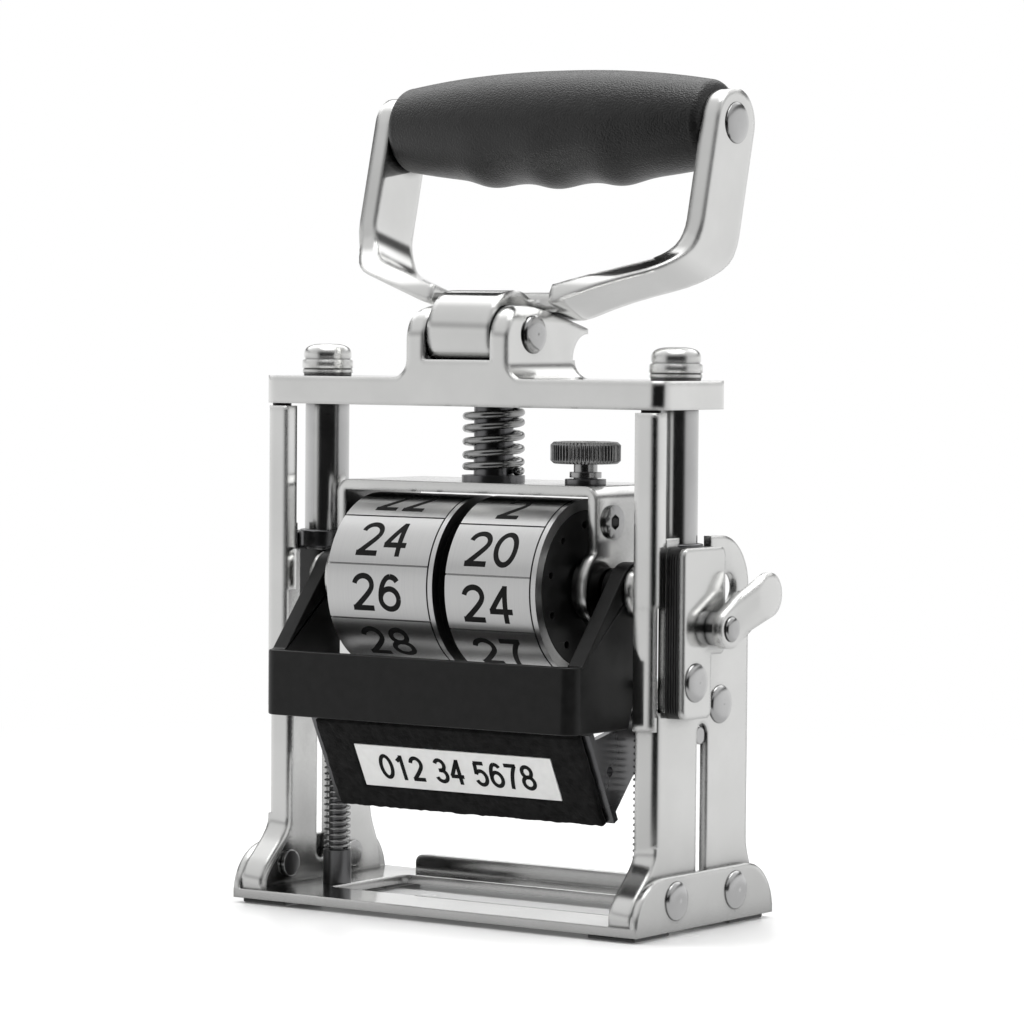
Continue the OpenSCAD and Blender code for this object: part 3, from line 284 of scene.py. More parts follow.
class Effects:
    """The shader groups that several finishes share, each built once."""

    def __init__(self) -> None:
        """Builds the groups."""
        self.handling = self._handling()
        self.grain = self._grain()
        self.brushing = self._brushing()

    @staticmethod
    def _handling() -> Tree:
        """Soft smudges and fine grit of handled metal.

        Returns:
            A group that gives a height and a tone from about 0 to 1.
        """
        group, kit = new_group("handling", {}, ("Height", "Tone"))
        place = kit.add("ShaderNodeTexCoord").outputs["Object"]
        wide = kit.add("ShaderNodeTexNoise", {"Vector": place, "Scale": 60.0, "Detail": 3.0})
        fine = kit.add("ShaderNodeTexNoise", {"Vector": place, "Scale": 900.0, "Detail": 2.0})
        smear = kit.span(wide.outputs[0], 0.4, 0.7, 0.0, 1.0)
        grit = kit.span(fine.outputs[0], 0.3, 0.7, -0.012, 0.012)
        kit.add("NodeGroupOutput", {"Height": fine.outputs[0], "Tone": kit.math("ADD", smear, grit)})
        return group

    @staticmethod
    def _grain() -> Tree:
        """Small rounded pebbles over a softer unevenness, as on moulded rubber and plastic.

        Returns:
            A group that gives a height and a tone from 0 to 1.
        """
        group, kit = new_group("grain", {"Scale": 1500.0, "Softness": 0.5}, ("Height", "Tone"))
        given = kit.add("NodeGroupInput")
        place = kit.add("ShaderNodeTexCoord").outputs["Object"]
        cells = kit.add("ShaderNodeTexVoronoi", {"Vector": place, "Scale": given.outputs["Scale"]})
        wide = kit.times(given.outputs["Scale"], 0.18)
        cloud = kit.add("ShaderNodeTexNoise", {"Vector": place, "Scale": wide, "Detail": 4.0})
        soft = kit.times(cloud.outputs[0], given.outputs["Softness"])
        height = kit.math("SUBTRACT", soft, kit.times(cells.outputs["Distance"], 0.6))
        tone = kit.span(cloud.outputs[0], 0.3, 0.7, 0.0, 1.0)
        kit.add("NodeGroupOutput", {"Height": height, "Tone": tone})
        return group

    @staticmethod
    def _brushing() -> Tree:
        """Fine lines left by turning or brushing, close together along one direction.

        Returns:
            A group that gives a height and a tone from 0 to 1.
        """
        scales = {"Across X": 4000.0, "Across Y": 40.0, "Across Z": 40.0}
        group, kit = new_group("brushing", scales, ("Height", "Tone"))
        given = kit.add("NodeGroupInput")
        place = kit.add("ShaderNodeTexCoord").outputs["Object"]
        scale = kit.add("ShaderNodeCombineXYZ", {i: given.outputs[i] for i in range(3)}).outputs[0]
        stretched = kit.add("ShaderNodeVectorMath", {0: place, 1: scale}, operation="MULTIPLY").outputs[0]
        lines = kit.add("ShaderNodeTexNoise", {"Vector": stretched, "Scale": 1.0, "Detail": 3.0})
        tone = kit.span(lines.outputs[0], 0.3, 0.7, 0.0, 1.0)
        kit.add("NodeGroupOutput", {"Height": lines.outputs[0], "Tone": tone})
        return group


def grey(level: float, blue: Optional[float] = None) -> Triple:
    """Gives a neutral tone, with its blue apart where it leans warm or cold."""
    return level, level, level if blue is None else blue


@dataclass(frozen=True)
class Finish:
    """A surface finish: two close tones, a roughness and its spread, and a fine relief.

    An edge is the radius of the softly rounded edges. Painted shade darkens the colour in corners and
    recesses, by how much of a point's surroundings is shut off within its reach.
    """

    name: str
    dark: Triple
    light: Triple
    roughness: float
    spread: float
    metallic: float = 0.0
    relief: float = 0.1
    depth: float = 0.00002
    specular: float = 0.5
    sheen: float = 0.0
    edge: float = 0.0
    grime: float = 0.0
    reach: float = 0.0022

    def pattern(self) -> tuple[str, dict]:
        """Names the shared group that draws the finish, and gives the group's inputs."""
        return "grain", {}

    def build(self, effects: Effects) -> Material:
        """Makes the material.

        Args:
            effects: The shared shader groups.

        Returns:
            The new material.
        """
        material = bpy.data.materials.new(self.name)
        kit = clear_tree(material)
        kind, given = self.pattern()
        group = kit.add("ShaderNodeGroup", given, node_tree=getattr(effects, kind)).outputs
        height, tone = group["Height"], group["Tone"]
        colour = kit.mix(tone, (*self.dark, 1.0), (*self.light, 1.0))
        # painted shade: the colour darkens towards a dark grey where ambient occlusion finds a corner or
        # recess shut in
        if self.grime:
            free = kit.add("ShaderNodeAmbientOcclusion", {"Distance": self.reach}, samples=CORNER_SAMPLES)
            shut = kit.span(free.outputs["AO"], *CORNER_OPEN, self.grime, 0.0)
            colour = kit.mix(shut, colour, (*grey(PAINTED_SHADE_TONE), 1.0))
        half = self.spread / 2
        rough = kit.span(tone, 0.0, 1.0, self.roughness - half, self.roughness + half)
        bump = kit.add("ShaderNodeBump", {"Strength": self.relief, "Distance": self.depth, "Height": height})
        if self.edge:
            rounded = kit.add("ShaderNodeBevel", {"Radius": self.edge}, samples=EDGE_SAMPLES)
            kit.tree.links.new(rounded.outputs[0], bump.inputs["Normal"])
        shader = kit.add(
            "ShaderNodeBsdfPrincipled",
            {
                "Base Color": colour,
                "Roughness": rough,
                "Metallic": self.metallic,
                "Specular IOR Level": self.specular,
                "Sheen Weight": self.sheen,
                "Normal": bump.outputs[0],
            },
        )
        kit.add("ShaderNodeOutputMaterial", {"Surface": shader.outputs[0]})
        return material


@dataclass(frozen=True)
class GrainFinish(Finish):
    """A pebbled finish, such as rubber, plastic or felt."""

    scale: float = 1500.0
    softness: float = 0.5

    def pattern(self) -> tuple[str, dict]:
        """Names the pebbles' group and sets their size."""
        return "grain", {"Scale": self.scale, "Softness": self.softness}


@dataclass(frozen=True)
class PlateFinish(Finish):
    """Polished metal that has been handled."""

    metallic: float = 1.0
    relief: float = 0.06
    depth: float = 1e-5

    def pattern(self) -> tuple[str, dict]:
        """Names the group of smudges and grit."""
        return "handling", {}


@dataclass(frozen=True)
class BrushedFinish(Finish):
    """Turned or brushed metal, with lines across one axis."""

    across: Axis = Axis.X
    lines: float = 5000.0
    drift: float = 60.0

    def pattern(self) -> tuple[str, dict]:
        """Names the group of lines and sets how close they lie."""
        return "brushing", {i: self.lines if i == self.across.value else self.drift for i in range(3)}


@dataclass(frozen=True)
class FinishSet:
    """All the finishes of the stamp."""

    # the plated, satin, bright and drum finishes carry painted shade that darkens their colour in corners
    # and recesses
    plated: Finish = PlateFinish(
        "polished_plate", grey(0.80, 0.79), grey(0.86, 0.85), 0.08, 0.04, relief=0.04, edge=0.002, grime=0.9
    )
    satin: Finish = PlateFinish(
        "satin_plate", grey(0.80, 0.79), grey(0.86, 0.85), 0.16, 0.05, edge=0.0014, grime=0.9, reach=0.011
    )
    bright: Finish = PlateFinish("bright_steel", grey(0.55), grey(0.66), 0.20, 0.08, edge=0.0005, grime=0.8)
    dark: Finish = PlateFinish(
        "dark_steel", grey(0.16, 0.165), grey(0.24, 0.245), 0.30, 0.1, relief=0.1, depth=0.00002
    )
    coil: Finish = PlateFinish("spring_steel", grey(0.38), grey(0.48), 0.22, 0.08)
    blacked: Finish = BrushedFinish(
        "blacked_steel", grey(0.006), grey(0.020), 0.40, 0.1,
        relief=0.3, depth=0.00003, lines=3500.0, drift=500.0,
    )
    drum: Finish = BrushedFinish(
        "turned_aluminium", grey(0.72), grey(0.76, 0.755), 0.30, 0.05,
        metallic=1.0, relief=0.04, depth=1e-5, grime=0.85, reach=0.012,
    )
    plastic: Finish = GrainFinish(
        "black_plastic", grey(0.005), grey(0.008), 0.34, 0.08, relief=0.05, specular=0.25, scale=2200.0
    )
    rubber: Finish = GrainFinish(
        "grained_rubber", grey(0.004), grey(0.008), 0.34, 0.08,
        relief=0.8, depth=0.0002, specular=0.6, scale=2300.0, softness=0.15,
    )
    felt: Finish = GrainFinish(
        "black_felt", grey(0.004), grey(0.012), 0.95, 0.05,
        relief=0.8, depth=0.0002, specular=0.1, sheen=0.05, scale=2600.0, softness=1.2,
    )
    white: Finish = GrainFinish(
        "print_white", grey(0.70, 0.69), grey(0.75, 0.74), 0.5, 0.05, relief=0.05, scale=3000.0
    )
    ink: Finish = GrainFinish(
        "black_ink", grey(0.004), grey(0.008), 0.5, 0.1, relief=0.1, specular=0.15, scale=3000.0
    )


class Paint:
    """The built materials, by the name of their finish."""

    def __init__(self) -> None:
        """Builds every material of the set."""
        effects = Effects()
        finishes = FinishSet()
        self.made = {key: getattr(finishes, key).build(effects) for key in finishes.__dataclass_fields__}

    def __getitem__(self, key: str) -> Material:
        """Returns a material by its key in the set."""
        return self.made[key]

    def put(self, piece: Piece, key: str) -> None:
        """Gives a piece one material all over."""
        piece.data.materials.clear()
        piece.data.materials.append(self.made[key])


# Sub-assemblies


def mount(piece: Piece, paint: Paint, finish: str, body: str, node: str = "") -> None:
    """Finishes a piece and puts it on its body.

    Args:
        piece: The new piece.
        paint: The built materials.
        finish: Key of its finish.
        body: Body that it rides on.
        node: The plain solid whose place it takes, if any.
    """
    paint.put(piece, finish)
    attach(piece, body)
    if node:
        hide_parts(node)
    LOG.info("%s rides on %s", piece.name, body)


@dataclass
class CadPieces:
    """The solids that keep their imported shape, with softened edges and their finishes."""

    edge: float = 0.45
    fine_edge: float = 0.12
    wide_edge: float = 1.0
    wide: Names = ("crossbar", "handle_strap")
    folded: Names = ("carriage", "die_holder")
    plated: Names = (
        "crossbar", "slide_rail_left", "slide_rail_right", "cap_nuts", "rod_washers", "pivot_screws",
        "handle_strap", "lock_lever",
    )
    satin: Names = (
        "base_plate", "side_frame_left", "side_frame_right", "guide_cover_left", "guide_cover_right",
        "carriage",
    )
    bright: Names = (
        "base_rivets", "guide_rivets", "lever_pivot", "guide_rod_left", "guide_rod_right", "clevis_pin",
        "wheel_axle", "axle_spacers", "detent_pins", "slot_pins", "spring_lugs", "grip_rod",
    )
    dark: Names = ("rod_bushes", "plunger", "knob_washer", "die_holder", "spring_posts")
    coil: Names = ("cheek_screws",)
    blacked: Names = ("guide_stack_left", "guide_stack_right")
    drum: Names = ("left_drum", "right_drum")
    plastic: Names = ("bail_tray", "left_hub", "right_hub")
    rubber: Names = ("rubber_feet",)
    white: Names = ("print_plate",)
    finishes: Names = (
        "plated", "satin", "bright", "dark", "coil", "blacked", "drum", "plastic", "rubber", "white",
    )
    small: Names = (
        "cap_nuts", "rod_washers", "base_rivets", "guide_rivets", "cheek_screws", "knob_washer",
        "left_drum", "right_drum", "left_hub", "right_hub", "print_plate", "detent_pins", "guide_stack_left",
        "guide_stack_right", "spring_posts",
    )

    def dress(self, nodes: dict[str, Piece], paint: Paint) -> None:
        """Gives each solid its material, merged corners and rounded edges.

        Args:
            nodes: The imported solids, by name.
            paint: The built materials.
        """
        for key in self.finishes:
            for name in getattr(self, key):
                piece = nodes[name]
                paint.put(piece, key)
                width = self.wide_edge if name in self.wide else self.edge
                width = self.fine_edge if name in self.small else width
                self.soften(piece, 0.0 if name in self.folded else width)
                LOG.info("%s: %s", name, key)

    @staticmethod
    def soften(piece: Piece, width: float) -> None:
        """Merges a solid's loose corners and rounds its sharp edges, through modifiers alone.

        Args:
            piece: The solid.
            width: Width of the rounding, in millimetres, or 0 for sharp edges.
        """
        piece.data.polygons.foreach_set("use_smooth", np.full(len(piece.data.polygons), True))
        weld = piece.modifiers.new("weld", "WELD")
        weld.merge_threshold = MERGE
        if not width:
            split = piece.modifiers.new("edge", "EDGE_SPLIT")
            split.split_angle = SHARP
            return
        bevel = piece.modifiers.new("edge", "BEVEL")
        bevel.width = width * MM
        bevel.segments = BEVEL_STEPS
        bevel.limit_method = "ANGLE"
        bevel.angle_limit = SHARP
        bevel.miter_outer = "MITER_ARC"
        bevel.use_clamp_overlap = True
        normals = piece.modifiers.new("shade", "WEIGHTED_NORMAL")
        normals.weight = FACE_WEIGHT
        normals.keep_sharp = False


@dataclass
class Coil:
    """A wound spring with closed ends, swept along its helix."""

    name: str
    centre: Pair
    low: float
    high: float
    radius: float
    wire: float
    turns: float
    sides: int = 10
    steps: int = 26
    closed: float = 1.1
    lead: float = 0.35
    slack: float = 1.02

    def path(self) -> tuple[np.ndarray, np.ndarray]:
        """Works out the helix.

        The height grows with the turn. Near both ends the growth eases down to one wire a turn, so
        that the end coils lie closed on their seats.

        Returns:
            The angles along the helix, and the points of its middle line.
        """
        count = int(self.turns * self.steps) + 1
        turn = np.linspace(0, self.turns, count)
        ends = np.minimum(turn, self.turns - turn)
        ease = np.clip(ends / self.closed - self.lead, 0, 1)
        ease = ease * ease * (3 - 2 * ease)
        room = self.high - self.low - self.wire
        step = self.turns / (count - 1)
        closed_pitch = self.wire * self.slack
        pitch = np.cumsum(ease) * step
        rise = turn * closed_pitch + (room - closed_pitch * self.turns) * pitch / pitch[-1]
        angle = 2 * np.pi * turn
        x = self.centre[0] + self.radius * np.cos(angle)
        y = self.centre[1] + self.radius * np.sin(angle)
        return angle, np.stack([x, y, self.low + self.wire / 2 + rise], -1)

    def build(self) -> Piece:
        """Sweeps a round wire along the helix and closes its ends.

        Returns:
            The spring.
        """
        angle, line = self.path()
        along = np.gradient(line, axis=0)
        along /= np.linalg.norm(along, axis=1, keepdims=True)
        out = np.stack([np.cos(angle), np.sin(angle), np.zeros_like(angle)], -1)
        out -= along * np.sum(out * along, axis=1, keepdims=True)
        out /= np.linalg.norm(out, axis=1, keepdims=True)
        side = np.cross(along, out)
        turn = np.linspace(0, 2 * np.pi, self.sides, endpoint=False)
        ring = np.cos(turn)[None, :, None] * out[:, None] + np.sin(turn)[None, :, None] * side[:, None]
        return add_grid(self.name, line[:, None] + self.wire / 2 * ring, caps=True)


@dataclass
class Springs:
    """The two return springs and the spring on the plunger."""

    x: float = 42.0
    y: float = -2.0
    low: float = 10.8
    high: float = 52.0
    radius: float = 2.79
    wire: float = 0.62
    turns: float = 30.0
    stroke: float = 21.3
    plunger: Coil = field(
        default_factory=lambda: Coil(
            "plunger_coil", (0.0, -1.0), 97.0, 112.3, radius=6.1, wire=1.7, turns=5.4, sides=16, steps=48
        )
    )

    def build(self, paint: Paint) -> None:
        """Makes the springs and puts them on their bodies.

        Args:
            paint: The built materials.
        """
        for name, node, side in (
            ("return_coil_left", "return_spring_left", -1),
            ("return_coil_right", "return_spring_right", 1),
        ):
            at = (side * self.x, self.y)
            piece = Coil(name, at, self.low, self.high, self.radius, self.wire, self.turns).build()
            mount(piece, paint, "coil", "frame", node)
            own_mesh(piece)
        mount(self.plunger.build(), paint, "coil", "yoke", "plunger_spring")


@dataclass
class Handle:
    """The rubber grip, in the plane of the handle that leans back about its hinge."""

    hinge: Pair = (-5.3, 128.2)
    lean: float = 14.0
    off: float = 17.4
    height: float = 52.4
    half: float = 42.3
    middle_r: float = 12.7
    end_r: float = 9.8
    round_r: float = 2.4
    bump_h: float = 1.3
    bump_pitch: float = 17.6
    bump_w: float = 5.0
    bump_turn: float = 0.8
    swell: float = 2.2
    end_steps: int = 14
    rows: int = 260
    cols: int = 128

    def grip_points(self) -> np.ndarray:
        """Works out the grip's surface.

        The radius swells from the ends to the middle with a power of the distance, the ends are
        rounded by a quarter circle, and finger bumps are bell curves along and around the grip.

        Returns:
            Grid of points, along the grip and then around it.
        """
        body = self.half - self.round_r
        bend = np.linspace(0, np.pi / 2, self.end_steps)
        x_end = body + self.round_r * np.sin(bend)
        drop_end = self.round_r * (1 - np.cos(bend))
        x_mid = np.linspace(-body, body, self.rows)
        x = np.concatenate([-x_end[::-1], x_mid[1:-1], x_end])
        drop = np.concatenate([drop_end[::-1], np.zeros(self.rows - 2), drop_end])
        share = np.clip(np.abs(x) / body, 0, 1)
        radius = self.end_r + (self.middle_r - self.end_r) * (1 - share**self.swell) - drop
        around = np.linspace(0, 2 * np.pi, self.cols, endpoint=False)
        low = np.abs((around - np.pi / 2) % (2 * np.pi) - np.pi)
        bell = sum(np.exp(-(((x - k * self.bump_pitch) / self.bump_w) ** 2)) for k in (-1, 0, 1))
        bump = self.bump_h * bell[:, None] * np.exp(-((low / self.bump_turn) ** 2))[None, :]
        r = radius[:, None] + bump
        n = self.off + r * np.cos(around)
        v = self.height + r * np.sin(around)
        return np.stack([np.broadcast_to(x[:, None], r.shape), *self.to_world(n, v)], -1)

    def to_world(self, n: np.ndarray, v: np.ndarray) -> tuple[np.ndarray, np.ndarray]:
        """Turns distances behind and above the hinge, in the handle's plane, into Y and Z."""
        c, s = math.cos(math.radians(self.lean)), math.sin(math.radians(self.lean))
        return self.hinge[0] + n * c + v * s, self.hinge[1] - n * s + v * c

    def build(self, paint: Paint) -> None:
        """Makes the grip and puts it on the handle.

        Args:
            paint: The built materials.
        """
        grip = add_grid("rubber_grip", self.grip_points(), caps=True)
        mount(grip, paint, "rubber", "handle", "grip")


@dataclass
class Knob:
    """The knurled thumb screw, turned from one outline."""

    centre: Pair = (26.6, -4.0)
    foot: float = 93.3
    low: float = 100.2
    high: float = 105.0
    radius: float = 7.7
    stem: float = 2.6
    collar: float = 3.5
    groove: Pair = (3.0, 1.8)
    ribs: int = 56
    rib_depth: float = 0.42
    rib_power: float = 0.7
    rib_steps: int = 8
    edge: float = 0.06

    def build(self, paint: Paint) -> None:
        """Makes the screw: its outline turns about the axis, and a sine wave cuts the ribs of its rim.

        Args:
            paint: The built materials.
        """
        r, lo, hi = self.radius, self.low, self.high
        under, over = lo - self.groove[0], lo - self.groove[1]
        outline = np.array([
            (0.0, self.foot, 0), (self.stem, self.foot, 0), (self.stem, under, 0), (self.collar, under, 0),
            (self.collar, over, 0), (self.stem, over, 0), (self.stem, lo, 0), (r - 1.1, lo, 0),
            (r - 0.75, lo + 0.05, 0), (r - 0.1, lo + 0.62, 1), (r, lo + 0.75, 1), (r, hi - 0.75, 1),
            (r - 0.1, hi - 0.62, 1), (r - 0.75, hi - 0.05, 0), (r - 0.95, hi, 0), (r - 1.9, hi, 0),
            (r - 2.1, hi - 0.08, 0), (r - 2.3, hi - 0.25, 0), (0.0, hi - 0.25, 0),
        ])
        turn = np.linspace(0, 2 * np.pi, self.ribs * self.rib_steps, endpoint=False)
        cut = self.rib_depth * (0.5 - 0.5 * np.cos(self.ribs * turn)) ** self.rib_power
        radius = outline[:, :1] - outline[:, 2:] * cut[None, :]
        points = np.stack(
            [
                self.centre[0] + radius * np.cos(turn),
                self.centre[1] + radius * np.sin(turn),
                np.broadcast_to(outline[:, 1:2], radius.shape),
            ],
            -1,
        )
        knob = add_grid("knurled_knob", points)
        CadPieces.soften(knob, self.edge)
        mount(knob, paint, "coil", "knob", "lock_knob")


def arc(x: float, y: float, rx: float, ry: float, start: float, end: float) -> np.ndarray:
    """Points along part of an ellipse, from one angle in degrees to another."""
    turn = np.radians(np.linspace(start, end, max(8, int(abs(end - start) / 8)) + 1))
    return np.stack([x + rx * np.cos(turn), y + ry * np.sin(turn)], -1)


def bow(start: Pair, pull: Pair, end: Pair) -> np.ndarray:
    """Points along a curve that leaves for a middle point and bends to its end."""
    share = np.linspace(0, 1, 17)[:, None]
    a, b, c = np.array(start), np.array(pull), np.array(end)
    return a * (1 - share) ** 2 + b * 2 * share * (1 - share) + c * share**2


def line(start: Pair, end: Pair) -> np.ndarray:
    """Points along a straight stroke, close enough together to bend around a drum."""
    return bow(start, ((start[0] + end[0]) / 2, (start[1] + end[1]) / 2), end)


@dataclass
class Figures:
    """Plain figures of even strokes, drawn by their middle lines in a cell one unit high."""

    depth: float = 0.08
    weight: float = 0.15
    advance: float = 0.82
    space: float = 0.46
    glyph: float = 0.56

    @staticmethod
    def strokes(figure: str) -> list[np.ndarray]:
        """Gives the middle lines of a figure's strokes.

        Args:
            figure: One of the ten figures.

        Returns:
            Lines of points, two numbers each, around the middle of the cell.
        """
        six = [
            arc(0, -0.16, 0.275, 0.27, 0, 360), arc(0, -0.16, 0.275, 0.59, 180, 90),
            arc(0, 0.22, 0.25, 0.21, 90, 25),
        ]
        return {
            "0": lambda: [arc(0, 0, 0.28, 0.43, 0, 360)],
            "1": lambda: [line((0.06, -0.5), (0.06, 0.5)), line((0.06, 0.42), (-0.18, 0.25))],
            "2": lambda: [
                arc(0, 0.19, 0.27, 0.24, 172, -30), bow((0.234, 0.07), (0.134, -0.084), (-0.27, -0.43)),
                line((-0.335, -0.43), (0.31, -0.43)),
            ],
            "3": lambda: [
                arc(-0.01, 0.22, 0.235, 0.21, 160, -90), arc(-0.01, -0.2, 0.275, 0.23, 90, -165),
                line((-0.11, 0.02), (0.0, 0.02)),
            ],
            "4": lambda: [
                line((0.13, -0.5), (0.13, 0.5)), line((0.13, 0.45), (-0.29, -0.18)),
                line((-0.34, -0.18), (0.34, -0.18)),
            ],
            "5": lambda: [
                line((0.25, 0.43), (-0.25, 0.43)), line((-0.19, 0.43), (-0.235, -0.02)),
                arc(-0.01, -0.155, 0.275, 0.275, 150, -158),
            ],
            "6": lambda: six,
            "7": lambda: [line((-0.3, 0.43), (0.31, 0.43)), bow((0.25, 0.43), (-0.02, 0.1), (-0.1, -0.5))],
            "8": lambda: [arc(0, 0.22, 0.235, 0.21, 0, 360), arc(0, -0.205, 0.275, 0.225, 0, 360)],
            "9": lambda: [-stroke for stroke in six],
        }[figure]()

    def flat(self, text: str, height: float, width: float) -> list[np.ndarray]:
        """Lays figures out flat, centred on the origin of the X and Y plane.

        Args:
            text: The figures, with spaces between groups.
            height: Height of the figures, in millimetres.
            width: Width of the whole text, in millimetres.

        Returns:
            A square tube for each stroke, as rows of four corners in millimetres.
        """
        places, at = [], 0.0
        for figure in text:
            places.append(at)
            at += self.space if figure == " " else self.advance
        middle = places[-1] / 2
        thick = self.weight * height
        wide = (width - thick) / (places[-1] + self.glyph) / height
        tubes = []
        for figure, place in zip(text, places):
            for stroke in self.strokes(figure) if figure != " " else []:
                path = (stroke + [place - middle, 0.0]) * height * np.array([wide, 1.0])
                along = np.gradient(path, axis=0)
                along /= np.linalg.norm(along, axis=1, keepdims=True)
                side = np.stack([-along[:, 1], along[:, 0]], -1) * thick / 2
                edges = np.stack([path + side, path - side, path - side, path + side], 1)
                level = np.broadcast_to(np.array([1, 1, -1, -1]) * self.depth / 2, edges.shape[:2])
                tubes.append(np.concatenate([edges, level[..., None]], -1))
        return tubes

    @staticmethod
    def raise_on(
        name: str, tubes: Sequence[np.ndarray], mapping: Callable[[np.ndarray], np.ndarray]
    ) -> Piece:
        """Makes one piece from flat strokes that a mapping lays onto their surface.

        Args:
            name: Name of the piece.
            tubes: The strokes, as rows of four corners.
            mapping: A function from flat points to points on the surface.

        Returns:
            The linked piece.
        """
        points, faces, count = [], [], 0
        for tube in tubes:
            rows = len(tube)
            ends = np.array([[3, 2, 1, 0], np.arange(4) + (rows - 1) * 4])
            faces.append(np.concatenate([grid_faces(rows, 4, False, True), ends]) + count)
            points.append(mapping(tube.reshape(-1, 3)))
            count += rows * 4
        return add_mesh(name, np.concatenate(points), np.concatenate(faces), smooth=False)


@dataclass
class Drum:
    """One number wheel's figures, wrapped around its drum."""

    name: str
    body: str
    x: float
    numbers: Names
    width: float = 13.3
    height: float = 8.3
    radius: float = 19.5
    axle: Pair = (-6.0, 73.2)
    first: float = -5.0
    sink: float = 0.02
    single: float = 0.46

    def wrap(self, angle: float) -> Callable[[np.ndarray], np.ndarray]:
        """Gives the mapping that bends a flat text onto the drum at an angle above the front.

        Args:
            angle: Angle of the text's middle, in degrees.

        Returns:
            A function from flat points to points on the drum.
        """

        def bend(points: np.ndarray) -> np.ndarray:
            turn = math.radians(angle) + points[:, 1] / self.radius
            r = self.radius + points[:, 2] - self.sink
            y = self.axle[0] - r * np.cos(turn)
            z = self.axle[1] + r * np.sin(turn)
            return np.stack([self.x + points[:, 0], y, z], -1)

        return bend

    def build(self, paint: Paint) -> None:
        """Makes every number of the drum as one piece.

        Args:
            paint: The built materials.
        """
        step = 360 / len(self.numbers)
        tubes = []
        for i, number in enumerate(self.numbers):
            width = self.width * (self.single if len(number) == 1 else 1.0)
            bend = self.wrap(self.first + i * step)
            flat = Figures().flat(number, self.height, width)
            tubes += [bend(tube.reshape(-1, 3)).reshape(tube.shape) for tube in flat]
        piece = Figures.raise_on(self.name, tubes, lambda points: points)
        mount(piece, paint, "ink", self.body)


@dataclass
class Die:
    """The felt around the print plate and the plate's figures, tilted about the die pins.

    The felt's unevenness is given as the cell and the seed of each random field.
    """

    pins: Pair = (3.5, 42.0)
    turn: float = -63.0
    drop: float = 20.4
    shift: float = 0.8
    half: float = 35.4
    length: float = 22.0
    felt: float = 1.6
    print_half: float = 26.5
    print_length: float = 10.8
    fuzz: float = 0.16
    rim: float = 0.08
    steps: tuple[int, int] = (150, 52)
    face_rows: int = 17
    coarse: tuple[float, int] = (0.7, 5)
    fine: tuple[float, int] = (0.3, 6)
    sway_x: tuple[float, int] = (1.6, 7)
    sway_y: tuple[float, int] = (1.2, 8)
    text: str = "012 34 5678"
    text_height: float = 6.4
    text_width: float = 42.0
    plate_set: float = 0.18

    def to_world(self, points: np.ndarray) -> np.ndarray:
        """Turns points of the flat, pressed die into its place at rest."""
        c, s = math.cos(math.radians(self.turn)), math.sin(math.radians(self.turn))
        y = points[..., 1] * c - points[..., 2] * s + self.pins[0]
        z = points[..., 1] * s + points[..., 2] * c + self.pins[1]
        return np.stack([points[..., 0], y, z], -1)

    @staticmethod
    def frame_edge(half: float, depth: float, middle: float, steps: tuple[int, int]) -> np.ndarray:
        """Points along a rectangle's edge, with the same number on matching sides.

        Args:
            half: Half width.
            depth: Length of the short side.
            middle: Place of the middle along the short side.
            steps: Points on the long and short sides.

        Returns:
            Points around the rectangle, two numbers each.
        """
        long_side = np.linspace(-1, 1, steps[0], endpoint=False)
        short_side = np.linspace(-1, 1, steps[1], endpoint=False)
        one_long, one_short = np.ones_like(long_side), np.ones_like(short_side)
        x = np.concatenate([long_side, one_short, -long_side, -one_short]) * half
        y = np.concatenate([-one_long, short_side, one_long, -short_side]) * depth / 2 + middle
        return np.stack([x, y], -1)

    def felt_points(self) -> np.ndarray:
        """Works out the felt's surface.

        A flat frame is carried around the rectangle: it rises at the window's edge, runs over the
        face and comes down at the outer edge, and a random field roughens it, most at the rim.

        Returns:
            Grid of points, across the frame and then around it.
        """
        inner = self.frame_edge(self.print_half + 0.1, self.print_length + 0.2, self.shift, self.steps)
        outer = self.frame_edge(self.half, self.length, self.shift, self.steps)
        middle = np.linspace(0.1, 0.9, self.face_rows)
        across = np.array([0, 0, 0, 0.01, 0.04, *middle, 0.96, 0.99, 1, 1, 1])
        face = -self.drop
        back = face + self.felt
        side = np.array([back, back - 0.6, face + 0.45, face + 0.15, face])
        level = np.concatenate([side, np.full(self.face_rows, face), side[::-1]])
        flat = inner[None] + across[:, None, None] * (outer - inner)[None]
        points = np.concatenate([flat, np.broadcast_to(level[:, None, None], (*flat.shape[:2], 1))], -1)
        rim = np.exp(-((1 - across) / self.rim) ** 2)[:, None]
        rough = value_noise(points, *self.coarse) + 0.6 * value_noise(points, *self.fine)
        points[..., 2] += np.where(level < back, 1.0, 0.0)[:, None] * self.fuzz * 0.5 * rough
        points[..., 0] += rim * self.fuzz * value_noise(points, *self.sway_x)
        points[..., 1] += rim * self.fuzz * value_noise(points, *self.sway_y)
        return self.to_world(points)

    def build(self, paint: Paint) -> None:
        """Makes the felt and the plate's figures.

        Args:
            paint: The built materials.
        """
        felt = add_grid("felt_frame", self.felt_points(), close_rows=True)
        mount(felt, paint, "felt", "die", "die_felt")
        face = -self.drop + self.plate_set

        def lay(points: np.ndarray) -> np.ndarray:
            flat = np.stack([points[:, 0], self.shift - points[:, 1], face - points[:, 2]], -1)
            return self.to_world(flat)

        flat_row = Figures().flat(self.text, self.text_height, self.text_width)
        row = Figures.raise_on("plate_figures", flat_row, lay)
        mount(row, paint, "ink", "die")


